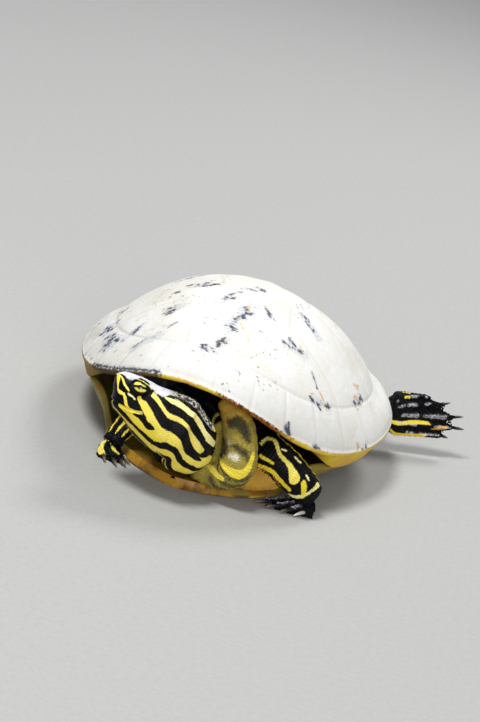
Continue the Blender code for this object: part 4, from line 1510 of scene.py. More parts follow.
# Routes hold (place along, place around, half width) where a stripe bends or changes width, and
# smooth curves run between. Light ones come with how pale and how orange they are, and dark ones
# lie over them.
HEAD_LIGHT = (
    # from the nostril over the jaw's edge
    (((0.5, 10, 0.8), (2.5, 26, 1), (7, 23.5, 0.8), (11, 28.5, 0.9), (14, 29, 0.8), (19, 25.5, 0.7)),
     0.25, 0.0),
    # before the eye
    (((2, 14.5, 0.8), (5, 18.5, 1), (8.5, 20.5, 0.5)), 0.4, 0.0),
    # a painted glint: a thin pale line below the eye
    (((9, 22, 0.4), (13, 22.5, 0.4)), 1.0, 0.0),
    # cheek, from below the eye to the neck
    (((15, 21, 1.4), (20, 22.5, 2.1), (27, 25, 2.7), (32, 27.5, 3.3), (40, 26, 2.8),
      (46, 26, 2.6), (52, 28.5, 3), (55.5, 27, 3)), 0.3, 0.0),
    # lower jaw
    (((8.5, 32, 1.4), (15, 32, 2.8), (23, 31, 2.4), (31.5, 30.5, 3.5)), 0.15, 0.0),
    # temple, from behind the eye
    (((18, 12, 1.4), (22, 15, 1.9), (27.5, 18, 1), (31, 19.5, 1.3), (37, 19, 1.4),
      (43, 19, 2.4), (50.5, 22.5, 1.4)), 0.4, 0.0),
    # throat and chin
    (((4, 41, 0.7), (8, 39, 0.8), (13, 40.5, 1.3), (22, 36.5, 2.2), (31, 37.5, 2.8),
      (37, 37, 1.9), (42.5, 32.5, 2.1), (48, 35, 2.5), (54.5, 36.5, 2.5)), 0.25, 0.1),
    (((33, 40.5, 1.5), (38, 42.5, 1.4), (46, 43, 1.4), (58, 42, 1.4)), 0.25, 0.15),
    (((12, 45.5, 0.8), (20, 44.5, 1), (30, 45, 0.8)), 0.25, 0.15),
    # nape
    (((26.5, 11, 0.9), (30, 11.5, 1.6), (37, 12, 1.8), (45, 12.5, 1.5), (50, 16.5, 1.7),
      (56, 19, 1.4)), 0.85, 0.0),
    # inner side of the neck's bend
    (((55.5, 12, 1.3), (70, 12, 1.2), (88, 12, 1)), 0.4, 0.0),
)
HEAD_DARK = (
    # the hook behind the corner of the mouth
    ((16, 29.5, 0.5), (19, 28, 1), (22, 28, 1.1), (25, 28, 1.8), (27.5, 27.5, 0.8)),
    # the broad band behind the eye, between temple and cheek
    ((16.5, 19.5, 1.3), (19.5, 18, 2.4), (28, 21.5, 2), (33, 22.5, 2.1), (41, 22, 2.5),
     (47, 24.5, 1.8), (52, 26.5, 0.7)),
    # between nape and temple
    ((28, 15, 1.2), (35, 15.5, 1.8), (43, 16, 2), (48, 18, 1.7), (52.5, 21.5, 1)),
    # between jaw and throat
    ((8.5, 34.5, 0.7), (15, 35, 0.9), (24, 34, 1.3), (29.5, 34.5, 1.6), (35, 33, 1.7),
     (43, 29.5, 1.8), (47, 30.5, 1.5), (54.5, 33, 1.6)),
    # behind the crown
    ((22, 11.5, 0.5), (24.5, 12.5, 0.9), (28.5, 14.5, 1.2)),
)
# How far down the crown's painted glare, a pale highlight, reaches along head and neck
CROWN_EDGE = ((0, 7), (5, 13), (9, 12.5), (12, 9), (22, 12), (25, 11.5), (28, 7), (44, 7),
              (50, 11), (53, 13.5), (57, 10), (62, -9))
GLINTS = (-8.2, -7.4, -4.2, -3.6, 0.0, 0.7, 4.2, 7.8)  # places round a foot of its wet streaks
LENGTHWAYS = tuple(
    (((2, at, 0.7), (18, at + 0.6, 0.9), (34, at - 0.5, 0.8), (60, at, 0.6)), 0.15, 0.0)
    for at in (-17, -12, -7, -2, 3, 8, 13, 18)
)
# By piece: whether its ground is yellow, its light routes and its dark ones
LIMB_MARKS = {
    "front_left_leg": (False, (
        (((26, 9.5, 0.4), (26, 12, 0.6), (28, 13.5, 0.7), (32.5, 10.5, 0.6), (38, 10, 0.8),
          (43.5, 8, 2.2)), 0.35, 0.0),
        (((28, 6.5, 0.6), (32.5, 7, 0.5)), 0.1, 0.1),
        (((26, 1.5, 0.9), (33, 4, 1), (38, 3.5, 1.1), (46, 3, 1)), 0.1, 0.1),
        (((47.5, 9.5, 0.9), (50, 8, 1.2), (53, 5.5, 1)), 0.1, 0.0),
        (((49.5, 0, 1.2), (52.5, 6, 1), (55.5, 14, 1.2)), 0.85, 0.0),
        # painted glints: short pale dashes on the upper arm
        (((32, 12.5, 0.4), (33.5, 13, 0.4)), 1.0, 0.0),
        (((37.5, 13.5, 0.5), (40.5, 14, 0.5)), 1.0, 0.0),
        (((46.5, 12, 0.4), (48.5, 11.5, 0.4)), 1.0, 0.0),
        *LENGTHWAYS[:3],
        *LENGTHWAYS[7:],
    ), ()),
    "neck_fold": (True, (
        (((36.5, 3, 1.9), (36, 9, 1.8), (34, 14, 1.4), (26.5, 17, 0.9)), 0.15, 0.0),
        (((50, 5, 1.2), (46, 7, 1.5), (41.5, 10, 1)), 0.2, 0.0),
    ), (
        ((9.5, 8.5, 0.8), (11.5, 9.5, 2.6), (13, 12.5, 3), (20.5, 14.5, 1.6)),
        ((20.5, 4, 2.2), (25, 5, 2.6), (29.5, 3, 2.4)),
        ((23, 9.5, 1.5), (26, 12.5, 1.8), (29, 14, 1)),
        ((39.5, 2, 1.2), (39, 9, 1), (35, 17, 0.9)),
        ((43, 3, 1), (42.5, 10, 1), (37, 19, 1.2)),
        ((47, 10, 1), (45.5, 14, 1), (42, 18, 1.2)),
    )),
    # the collar's dark strip is painted shade in its recess between neck and fold
    "collar": (True, (), (((2, 0, 3), (12, 0, 3), (26, 0, 3)),)),
    "axilla": (True, (), (((6, -4, 1), (18, -2, 0.8)),)),
    "front_right_leg": (False, LENGTHWAYS, ()),
    "hind_left_leg": (False, LENGTHWAYS, ()),
    "hind_right_leg": (False, LENGTHWAYS, ()),
    "tail": (False, LENGTHWAYS[::2], ()),
    "front_left_foot": (False, (
        (((2, 3, 0.7), (12, 1.5, 0.6), (22, 0.5, 0.4)), 0.8, 0.0),
    ), ()),
    "front_right_foot": (False, (
        (((0.5, 5.5, 1.8), (6, 9, 1.5), (12.5, 8, 1.5)), 0.35, 0.0),
        (((1, 2, 0.5), (10, 0, 0.5)), 0.3, 0.0),
    ), ()),
    "hind_left_foot": (False, (
        (((-2, 5, 0.9), (4, 4.5, 1), (17, 3, 0.8), (27, 3, 0.6)), 0.2, 0.0),
        (((0, 10.5, 1.8), (22, 10, 1.9), (31, 9, 1.2)), 0.1, 0.2),
        (((12, -10.5, 0.6), (22, -10, 0.5)), 0.2, 0.0),
        (((33, 4.5, 1.1), (38, 4.5, 1)), 0.1, 0.8),
        (((13, -7.5, 0.7), (19, -7.5, 0.8)), 0.2, 0.0),
    ), ()),
    "hind_right_foot": (False, (
        (((1, 5, 1.4), (14, 3, 1.2), (28, 2, 0.8)), 0.2, 0.0),
        (((1, -5, 1.4), (14, -3, 1.2), (28, -2, 0.8)), 0.2, 0.0),
    ), ()),
}


CURVE_STEPS = 4  # straight pieces that a curve has between two points of its route


def curve(route):
    """Points of a smooth curve through those of a route, which eases off at its ends."""
    known = np.asarray(route, float)
    return spline(np.concatenate([known[:1], known, known[-1:]]), CURVE_STEPS)


def stripe_distance(place, route):
    """Signed distance in from the edge of a stripe whose half width changes along it."""
    route = curve(route)
    best = np.full(len(place), -np.inf)
    for (s0, v0, w0), (s1, v1, w1) in zip(route[:-1], route[1:]):
        a, ab = np.array([s0, v0]), np.array([s1 - s0, v1 - v0])
        t = np.clip(((place - a) @ ab) / max(ab @ ab, 1e-9), 0, 1)
        gap = np.linalg.norm(place - a - t[:, None] * ab, axis=1)
        best = np.maximum(best, w0 + (w1 - w0) * t - gap)
    return best


def lay_stripes(marks, on, place, light, dark, heat):
    """Lays light routes and then dark ones over them on the points that on picks out."""
    stripe = np.full(len(place), NO_MARK)
    pale, warm = np.full(len(place), 0.1), 0.35 * heat[on]
    for route, tint, orange in light:
        depth = stripe_distance(place, route)
        better = depth > stripe
        pale = np.where(better, tint, pale)
        warm = np.where(better, orange, warm)
        stripe = np.maximum(stripe, depth)
    for route in dark:
        stripe = np.minimum(stripe, -stripe_distance(place, route))
    marks["stripe"][on], marks["pale"][on], marks["warm"][on] = stripe, pale, warm


def paint_head(marks, on, along, around, points, heat):
    """Stripes, the crown's painted glare (a pale highlight) and lid lines of head and neck."""
    down = np.abs(around) / math.pi * THROAT
    place = np.stack([along, down], axis=-1)
    lay_stripes(marks, on, place, HEAD_LIGHT, HEAD_DARK, heat)
    edge = np.interp(along, *np.array(CROWN_EDGE, float).T) - down
    for route in HEAD_DARK:
        edge = np.minimum(edge, -stripe_distance(place, route))
    # the nape, where the crown's painted glare is broken into pebbles
    marks["pebbled"][on] = smoothstep(26, 31, along) * smoothstep(-0.5, 1.0, edge)
    stripe = marks["stripe"][on]
    for side in (1, -1):
        gap, _, _, reach, rise = eye_opening(points, side)
        fold = np.where((reach < 7) & (rise > 0.2), 0.36 - np.abs(gap - 1.25), NO_MARK)
        ring = np.where(reach < 7, gap - 0.95, 9.0)
        stripe = np.maximum(np.minimum(stripe, np.where(rise > -1.5, ring, 9.0)), fold)
        edge = np.minimum(edge, np.where(reach < 7, gap - 1.9, 9.0))
    marks["stripe"][on], marks["painted_glare"][on] = stripe, edge


def paint_loose(marks, on, name, along, spot, dark):
    """Ground, dark marks with painted shade, and pale creases with a painted highlight, of the loose
    skin of folds.
    """
    marks["ground"][on] = 1.0
    # dark routes: marks of the fold, and painted shade in the collar's recess
    for route in dark:
        depth = stripe_distance(spot, route)
        marks["dark_and_shade"][on] = np.maximum(marks["dark_and_shade"][on], depth)
    marks["warm"][on] = 0.45 if name == "axilla" else 0.0
    if name == "neck_fold":
        # a pale patch and creases in the fold's hollow, partly a painted highlight
        inner = bump(along, 28.5, 5.0) * bump(spot[:, 1], 9.5, 4.5)
        pale_patch = 0.62 * bump(along, 21.5, 4.5) * bump(spot[:, 1], 7.0, 6.0)
        marks["pale_and_highlight"][on] = np.maximum(inner, pale_patch)
        marks["warm"][on] = 0.35 * smoothstep(18, 6, along)
        marks["ground"][on] = smoothstep(60, 54, along)


def paint(piece, along, around, points):
    """The markings' float attributes at places on the skin, shared by skin and scales."""
    marks = {key: np.zeros(len(points)) for key in ("pale", "warm", "ground", "pale_and_highlight", "pebbled")}
    marks.update({key: np.full(len(points), NO_MARK) for key in ("dark_and_shade", "stripe", "painted_glare")})
    heat = smoothstep(0.45, 0.75, noise(points, 9.0, 3.0))
    on = piece <= NECK
    if on.any():
        paint_head(marks, on, along[on], around[on], points[on], heat)
    for number, name in enumerate(PIECES):
        on = piece == number
        if number <= NECK or not on.any():
            continue
        loose, light, dark = LIMB_MARKS[name]
        spot = np.stack([along[on], np.degrees(around[on]) / AROUND_LIMB], axis=-1)
        lay_stripes(marks, on, spot, light, () if loose else dark, heat)
        if loose:
            paint_loose(marks, on, name, along[on], spot, dark)
        if name.endswith("_leg") and name != "front_left_leg":
            ankle = along[on].max()
            marks["stripe"][on] -= 3 * smoothstep(ankle - 7, ankle - 1, along[on])
        # painted glints: broken pale streaks along the toes of the left feet
        if name.endswith("left_foot"):
            broken = 1.6 * smoothstep(0.4, 0.7, noise(points[on], 4.5, 5.0))
            for toe in GLINTS:
                route = ((5, 0.8 * toe, 0.2), (16, toe, 0.35), (40, toe, 0.3))
                streak = stripe_distance(spot, route) - broken
                marks["painted_glare"][on] = np.maximum(marks["painted_glare"][on], streak)
    return marks


PIECES = ["head", "neck", *LIMBS, *FEET]


# ---------------------------------------------------------------- scales


def scale_rows(tube, pitch, squeeze):
    """Staggered places along and around a tube, about a pitch apart."""
    step = pitch * squeeze
    first, last = tube.along[0], tube.along[-1]
    places = []
    for row, s in enumerate(np.arange(first + step / 2, last, step)):
        girth = np.interp(s, tube.along, tube.girth)
        count = max(int(girth / pitch), 6)
        turn = (np.arange(count) + 0.5 * (row % 2)) / count * 2 * math.pi - math.pi
        places.append(np.stack([np.full(count, s), turn, np.full(count, girth)], axis=1))
    return np.concatenate(places)


def on_tube(tube, along, around):
    """Points of the tube and the direction that it runs, at places along and around it."""
    order = np.argsort(tube.around, kind="stable")
    angles = tube.around[order]
    angles = np.concatenate([[angles[-1] - 2 * math.pi], angles, [angles[0] + 2 * math.pi]])
    columns = np.concatenate([[order[-1]], order, [order[0]]])
    row = np.interp(along, tube.along, np.arange(len(tube.along)))
    i = np.clip(row.astype(int), 0, len(tube.along) - 2)
    ti = (row - i)[:, None]
    k = np.clip(np.searchsorted(angles, around) - 1, 0, len(angles) - 2)
    tk = ((around - angles[k]) / np.maximum(angles[k + 1] - angles[k], 1e-9))[:, None]
    near, far = columns[k], columns[k + 1]
    r = tube.rings
    low = r[i, near] * (1 - tk) + r[i, far] * tk
    high = r[i + 1, near] * (1 - tk) + r[i + 1, far] * tk
    return low * (1 - ti) + high * ti, unit(high - low + 1e-9)


SCALE_SIDES = 6


def scale_shape(length, width, height, tilt):
    """Points of closed scales: a sunk base, a rounded shoulder and a crown."""
    angle = 2 * math.pi * (np.arange(SCALE_SIDES) + 0.5) / SCALE_SIDES
    c, s = np.cos(angle), np.sin(angle)
    n = len(length)
    local = np.zeros((n, 2 * SCALE_SIDES + 1, 3))
    for ring, (spread, rise) in enumerate(((1.0, -0.55), (0.80, 0.62))):
        at = slice(ring * SCALE_SIDES, (ring + 1) * SCALE_SIDES)
        local[:, at, 0] = length[:, None] * spread * c
        local[:, at, 1] = width[:, None] * spread * s
        local[:, at, 2] = height[:, None] * rise
    local[:, -1, 2] = height
    local[:, SCALE_SIDES:, 2] += tilt[:, None] * local[:, SCALE_SIDES:, 0]
    return local


def scale_faces(count):
    """Triangles of as many scales as counted, one after the other."""
    k = np.arange(SCALE_SIDES)
    after = (k + 1) % SCALE_SIDES
    base = [(0, i + 1, i) for i in range(1, SCALE_SIDES - 1)]
    wall = np.concatenate(
        [
            np.stack([k, after, SCALE_SIDES + after], 1),
            np.stack([k, SCALE_SIDES + after, SCALE_SIDES + k], 1),
            np.stack([SCALE_SIDES + k, SCALE_SIDES + after, 0 * k + 2 * SCALE_SIDES], 1),
            np.array([(a, b, c) for a, c, b in base]),
        ]
    )
    stride = 2 * SCALE_SIDES + 1
    return (wall[None] + (np.arange(count) * stride)[:, None, None]).reshape(-1, 3)


JITTER = 0.22  # how far scales stray from their rows, as a share of the pitch
SIZE_VARIATION = 0.28
# Pitch between scales, their height, backward tilt and how much rows close up, by piece
COATS = {
    "head": (0.85, 0.075, 0.02, 0.86),
    "neck": (1.15, 0.13, 0.05, 0.86),
    "neck_fold": (1.25, 0.16, 0.05, 0.86),
    "collar": (1.25, 0.16, 0.05, 0.86),
    "axilla": (1.25, 0.16, 0.05, 0.86),
    "front_left_leg": (1.35, 0.26, 0.12, 0.80),
    "front_right_leg": (1.5, 0.26, 0.12, 0.80),
    "hind_left_leg": (1.5, 0.26, 0.12, 0.80),
    "hind_right_leg": (1.5, 0.26, 0.12, 0.80),
    "tail": (1.35, 0.22, 0.10, 0.80),
    "front_left_foot": (0.95, 0.20, 0.10, 0.82),
    "front_right_foot": (0.95, 0.20, 0.10, 0.82),
    "hind_left_foot": (1.0, 0.20, 0.10, 0.82),
    "hind_right_foot": (1.05, 0.20, 0.10, 0.82),
}
UV_TILES = 4  # the atlas of scale patches is this many tiles wide and high
PATCH = 0.003  # across each scale's patch of the atlas


def coat(tube, number, skin_tree, atlas, random):
    """The scales of one piece, as closed plates rooted in the skin."""
    pitch, height, tilt, squeeze = COATS[tube.name]
    places = scale_rows(tube, pitch, squeeze)
    jitter = random.rand(len(places), 4) - 0.5
    along = places[:, 0] + jitter[:, 0] * pitch * JITTER
    girth = places[:, 2]
    around = places[:, 1] + jitter[:, 1] * JITTER * pitch / girth * 2 * math.pi
    around = np.where(around > math.pi, around - 2 * math.pi, around)
    around = np.where(around < -math.pi, around + 2 * math.pi, around)
    points, lie = on_tube(tube, along, around)
    piece, _, _, _ = atlas.find(points)
    hits = [skin_tree.find_nearest(Vector(p)) for p in points.tolist()]
    root = np.array([tuple(h[0]) for h in hits])
    normal = np.array([tuple(h[1]) for h in hits])
    gap = np.array([h[3] for h in hits])
    keep = (gap < 1.4) & (inside_shell(points) < 0.6) & (piece == number)
    if tube.name == "head":
        station, high, _ = head_place(points)
        mouth = distance_to_route(np.stack([station, high], -1), MOUTH_LINE)
        beak = (station < 8.5) & (high < -1.0)
        keep &= ~beak & (mouth > 1.0) & (station > 3.0)
        for side in (1, -1):
            keep &= eye_opening(points, side)[0] > 0.9
    ends = (along > tube.along[0] + 1.0) & (along < tube.along[-1] + 0.2)
    keep &= ends
    root, normal, lie = root[keep], unit(normal[keep]), lie[keep]
    along, around, girth = along[keep], around[keep], girth[keep]
    vary = 1 + SIZE_VARIATION * (random.rand(len(root), 3) - 0.5)
    forward = unit(lie - (lie * normal).sum(axis=1, keepdims=True) * normal)
    sideways = np.cross(normal, forward)
    size = pitch * 0.5
    length, width = size * 1.02 * vary[:, 0], size * 1.04 * vary[:, 1]
    local = scale_shape(length, width, height * vary[:, 2], np.full(len(root), tilt))
    corners = (
        root[:, None]
        + local[..., :1] * forward[:, None]
        + local[..., 1:2] * sideways[:, None]
        + (local[..., 2:] + COAT_DEPTH * 0.35) * normal[:, None]
    )
    spot_along = along[:, None] + local[..., 0]
    spot_around = around[:, None] + local[..., 1] / girth[:, None] * 2 * math.pi * spin(tube)
    flat = corners.reshape(-1, 3)
    flat[:, 2] = np.maximum(flat[:, 2], 0.0)
    marks = paint(np.full(len(flat), number), spot_along.ravel(), spot_around.ravel(), flat)
    marks["plate"] = np.repeat(random.rand(len(root)), corners.shape[1])
    crown = np.tile([0.0] * SCALE_SIDES + [0.6] * SCALE_SIDES + [1.0], len(root))
    marks["crown"] = crown
    faces = scale_faces(len(root))
    obj = add_mesh(tube.name + "_scales", flat, faces, marks)
    lay_patches(obj, tube, number, along, around, local)
    return obj


def spin(tube):
    """Which way round the tube its sideways direction runs."""
    ring = tube.rings[len(tube.rings) // 2]
    lie = tube.rings[len(tube.rings) // 2 + 1].mean(axis=0) - ring.mean(axis=0)
    k = int(np.argmin(np.abs(tube.around)))
    after = int(np.argmin(np.abs(tube.around - 0.15)))
    out = unit(ring[k] - ring.mean(axis=0))
    sideways = np.cross(out, unit(lie))
    return 1.0 if sideways @ (ring[after] - ring[k]) > 0 else -1.0


def lay_patches(obj, tube, number, along, around, local):
    """OFBake: a small patch for each scale where its root lies on the unrolled skin."""
    mesh = obj.data
    column, row = number % UV_TILES, number // UV_TILES
    u = (along - tube.along[0]) / (tube.along[-1] - tube.along[0])
    v = (around + math.pi) / (2 * math.pi)
    root = np.stack([column + 0.02 + 0.96 * u, row + 0.02 + 0.96 * v], axis=1) / UV_TILES
    reach = np.abs(local[..., :2]).max()
    places = root[:, None] + local[..., :2] / reach * PATCH / 2
    places = np.clip(places, 0.0005, 0.9995).reshape(-1, 2)
    layer = mesh.uv_layers.new(name="OFBake")
    index = np.empty(len(mesh.loops), np.int32)
    mesh.loops.foreach_get("vertex_index", index)
    layer.data.foreach_set("uv", places[index].astype(np.float32).ravel())


# ---------------------------------------------------------------- claws and eyes

CLAW_SHARES = ((0.0, 0.8), (0.35, 1.15), (0.62, 0.95), (0.85, 0.6), (1.0, 0.2))
CLAW_RINGS = 22
CLAW_ROUND = 16


def claws():
    """All the claws as curved horn cones, flatter below, each rooted in its toe."""
    points, faces, share_along, pale, count = [], [], [], [], 0
    shares = np.linspace(0, 1, CLAW_RINGS)
    known, radii = np.array(CLAW_SHARES).T
    radius = np.interp(shares, known, radii)
    for _ in range(2):
        radius[1:-1] = (radius[:-2] + 2 * radius[1:-1] + radius[2:]) / 4
    turn = 2 * math.pi * np.arange(CLAW_ROUND) / CLAW_ROUND
    for spec in FEET.values():
        origin, forward, side, dorsal = foot_frame(spec)
        for number, (end, length) in enumerate(zip(spec["ends"], spec["claws"])):
            if not length:
                continue
            base = 0.5 * spec["toe_thick"] if spec["flat_sole"] else 0.0
            ray = unit(forward * (end[0] + CLAW_PIVOT) + side * end[1])
            start = origin + forward * end[0] + side * end[1] + dorsal * base - ray * CLAW_ROOT
            drop = 0.5 * spec["toe_thick"] - 0.9 if spec["flat_sole"] else 1.6
            aside = np.cross(dorsal, ray)
            full = length + CLAW_ROOT
            for share, r in zip(shares, radius):
                centre = start + ray * full * share - dorsal * drop * share**2.2
                below = np.where(np.sin(turn) < 0, 0.82, 1.0)
                ring = centre + r * (
                    np.cos(turn)[:, None] * aside * 0.85
                    + (np.sin(turn) * below)[:, None] * dorsal
                )
                points.append(ring)
            points.append([start, start + ray * (full + 0.1) - dorsal * drop * 1.02])
            share_along.append(np.concatenate([np.repeat(shares, CLAW_ROUND), [0.0, 1.0]]))
            pale.append(np.full(CLAW_RINGS * CLAW_ROUND + 2, float(number == spec["pale_claw"])))
            quads = grid_faces(CLAW_RINGS, CLAW_ROUND) + count
            faces.append(triangles(quads))
            k = np.arange(CLAW_ROUND)
            after = (k + 1) % CLAW_ROUND
            total = CLAW_RINGS * CLAW_ROUND
            base_cap = np.stack([0 * k + total, after, k], 1)
            tip = total - CLAW_ROUND
            tip_cap = np.stack([0 * k + total + 1, tip + k, tip + after], 1)
            faces += [base_cap + count, tip_cap + count]
            count += total + 2
    points = np.concatenate([np.reshape(p, (-1, 3)) for p in points])
    points[:, 2] = np.maximum(points[:, 2], 0.0)
    marks = {"share": np.concatenate(share_along), "light": np.concatenate(pale)}
    obj = add_mesh("claws", points, np.concatenate(faces), marks)
    reshape(obj)
    return obj


def eyeball(name, side):
    """An eyeball whose front bulges a little, with coordinates on its face."""
    centre, pole, rear, upward = eye_frame(side)
    rings, sides = 56, 64
    angle = np.linspace(0.02, math.pi - 0.02, rings)
    turn = 2 * math.pi * np.arange(sides) / sides
    flat = np.cos(turn)[:, None] * rear + np.sin(turn)[:, None] * upward
    bulge = 0.22 * smoothstep(0.62, 0.1, angle)
    reach = EYE_RADIUS - 0.02 + bulge
    direction = (
        np.cos(angle)[:, None, None] * pole + np.sin(angle)[:, None, None] * flat[None]
    )
    points = (centre + reach[:, None, None] * direction).reshape(-1, 3)
    across = np.repeat(np.sin(angle) * EYE_RADIUS, sides)
    u = across * np.tile(np.cos(turn), rings)
    v = across * np.tile(np.sin(turn), rings)
    front = np.repeat(np.cos(angle) > 0, sides)
    ends = np.array([centre + pole * (EYE_RADIUS + 0.2), centre - pole * EYE_RADIUS])
    marks = {
        "rearward": np.concatenate([np.where(front, u, 9.0), [0.0, 9.0]]),
        "upward": np.concatenate([np.where(front, v, 9.0), [0.0, 9.0]]),
    }
    flat_points = np.concatenate([points, ends])
    obj = add_mesh(name, flat_points, grid_faces(rings, sides), marks)
    close_poles(obj, sides, len(flat_points) - 2, len(flat_points) - 1)
    return obj


# ---------------------------------------------------------------- materials

# Colours of the upper shell
CHALK = (0.76, 0.755, 0.73)
WARM_CHALK = (0.70, 0.68, 0.60)
DULL_CHALK = (0.52, 0.51, 0.48)
DUSKY_FILM = (0.36, 0.36, 0.27)
SEAM_SHADE = (0.42, 0.40, 0.32)
GREY_WASH = (0.42, 0.45, 0.53)
TAN_STAIN = (0.62, 0.38, 0.10)
FLECK_HALO = (0.25, 0.28, 0.38)
FLECK = (0.030, 0.034, 0.055)
OCHRE_HORN = (0.70, 0.38, 0.04)
DULL_HORN = (0.50, 0.34, 0.08)
HORN_BLOTCH = (0.05, 0.035, 0.02)
RUST, DARK_RUST = (0.42, 0.13, 0.008), (0.06, 0.02, 0.006)
# Painted shade, tinted olive, under the rim at the right front
SHADED_OLIVE, SHADED_OLIVE_BROWN = (0.13, 0.095, 0.012), (0.26, 0.12, 0.015)
# Painted shade under the right front of the rim
RIM_SHADE_DARK = (0.035, 0.024, 0.018)
# Colours of the lower shell
BELLY_HORN, BELLY_ORANGE = (0.72, 0.52, 0.05), (0.62, 0.36, 0.04)
BELLY_SMUDGE = (0.045, 0.03, 0.02)
WALL_OLIVE, WALL_UMBER = (0.30, 0.24, 0.03), (0.22, 0.16, 0.03)
WALL_RUST = (0.34, 0.12, 0.01)
# The front edge's orange-brown, darkened as painted shade
SHADED_LIP_ORANGE, SHADED_LIP_BROWN = (0.50, 0.25, 0.02), (0.16, 0.07, 0.015)
BELLY_SEAM = (0.16, 0.09, 0.03)
BELLY_SCUFF = (0.40, 0.28, 0.10)
# Colours of skin and scales
YELLOW = (0.88, 0.69, 0.012)
DEEP_YELLOW = (0.70, 0.50, 0.02)
CREAM = (0.94, 0.86, 0.40)
ORANGE = (0.66, 0.27, 0.02)
BLACK, BLUE_BLACK = (0.003, 0.003, 0.004), (0.007, 0.0075, 0.009)
FOLD_YELLOW, FOLD_OLIVE = (0.46, 0.35, 0.05), (0.30, 0.25, 0.06)
FOLD_SHADE = (0.16, 0.13, 0.05)
# Pale patch of the neck fold, partly a painted highlight
FOLD_PALE_HIGHLIGHT = (0.78, 0.76, 0.62)
# Dark marks of the folds, and painted shade in the collar's recess
FOLD_DARK_AND_SHADE = (0.022, 0.024, 0.020)
# Painted glare: a pale highlight on the crown and glints on the feet
GLARE_WHITE, GLARE_BLUE = (0.84, 0.82, 0.82), (0.52, 0.54, 0.66)
GLARE_PEBBLE_CREAM = (0.80, 0.78, 0.66)
SCALE_EDGE = (0.004, 0.004, 0.004)
WHITE = (1, 1, 1)


def shell_material():
    """Chalky scutes above with ragged dark flecks, and yellow blotched horn below, with painted shade
    along the right front of the rim and under it.
    """
    m = Nodes("shell_horn")
    seam, side = m.attribute("seam"), m.attribute("side")
    far = m.attribute("far")
    cloud = m.noise(26, 4)
    fine = m.noise(2.0, 4, 0.7)
    speck = m.noise(0.8, 3, 0.65)
    rough_edge = m.minus(m.times(m.plus(fine, speck), 3.4), 3.5)
    chalk = m.mix(m.ramp(cloud, 0.35, 0.7), CHALK, WARM_CHALK)
    chalk = m.mix(m.ramp(fine, 0.48, 0.75, 0.0, 0.30), chalk, DULL_CHALK)
    film = m.times(m.ramp(m.noise(17, 5, 0.7), 0.5, 0.72), far)
    chalk = m.mix(m.times(film, 0.45), chalk, DUSKY_FILM)
    joint = m.times(m.ramp(seam, 0.2, 1.1, 1.0, 0.0), m.ramp(far, 0.0, 1.0, 0.14, 0.45))
    chalk = m.mix(joint, chalk, SEAM_SHADE)
    wash = m.plus(m.attribute("wash"), m.times(rough_edge, 2.5))
    chalk = m.mix(m.ramp(wash, -3.0, 3.0, 0.0, 0.45), chalk, GREY_WASH)
    grit = m.noise(1.5, 4, 0.75)
    zone = m.ramp(m.attribute("wash"), -2.0, 1.5)
    speckle = m.times(zone, m.ramp(grit, 0.57, 0.63))
    tan_mark = m.plus(m.attribute("tan"), rough_edge)
    chalk = m.mix(m.ramp(tan_mark, -0.5, 0.5, 0.0, 0.85), chalk, TAN_STAIN)
    # the dark field holds the flecks and the painted shadow line along the right front of the rim
    dark = m.plus(m.attribute("dark"), rough_edge)
    stray = m.times(m.ramp(m.noise(11, 4, 0.65), 0.58, 0.68), far)
    stray = m.times(stray, m.ramp(fine, 0.45, 0.6))
    flecks = m.larger(m.ramp(dark, -0.35, 0.35), stray)
    sprinkle = m.times(m.ramp(m.noise(14, 3, 0.6), 0.50, 0.60), m.attribute("sprinkled"))
    sprinkle = m.times(sprinkle, m.ramp(m.noise(2.4, 3, 0.6), 0.60, 0.66))
    flecks = m.larger(flecks, m.times(sprinkle, 0.8))
    flecks = m.larger(flecks, m.times(speckle, 0.8))
    chalk = m.mix(m.ramp(dark, -1.6, 0.0, 0.0, 0.35), chalk, FLECK_HALO)
    chalk = m.mix(m.times(flecks, 0.93), chalk, FLECK)
    blotch = m.noise(13, 3, 0.6)
    under = m.mix(m.ramp(cloud, 0.3, 0.7), YELLOW, OCHRE_HORN)
    under = m.mix(m.ramp(fine, 0.35, 0.75, 0.0, 0.5), under, DULL_HORN)
    marks = m.larger(m.ramp(blotch, 0.60, 0.68), m.ramp(dark, -0.35, 0.35))
    under = m.mix(m.times(marks, 0.85), under, HORN_BLOTCH)
    ragged = m.minus(m.plus(fine, speck), 1.0)
    rust = m.mix(m.ramp(fine, 0.4, 0.6), RUST, DARK_RUST)
    under = m.mix(m.attribute("rust"), under, rust)
    # painted shade, tinted olive, under the rim at the right front
    tint = m.mix(m.ramp(fine, 0.35, 0.65), SHADED_OLIVE, SHADED_OLIVE_BROWN)
    under = m.mix(m.times(m.attribute("olive"), 0.85), under, tint)
    # painted shade under the right front of the rim, ragged at its edge
    rim_shading = m.plus(m.times(m.attribute("rim_shade"), 1.2), ragged)
    under = m.mix(m.ramp(rim_shading, 0.7, 1.1, 0.0, 0.85), under, RIM_SHADE_DARK)
    level = m.plus(side, m.times(ragged, 0.8))
    colour = m.mix(m.ramp(level, 0.20, 0.40), chalk, under)
    relief = m.plus(m.times(fine, 0.6), m.times(speck, 0.4))
    normal = m.bump(relief, 0.10)
    return m.finish(colour, m.ramp(fine, 0.3, 0.8, 0.45, 0.72), normal, Specular_IOR_Level=0.2)


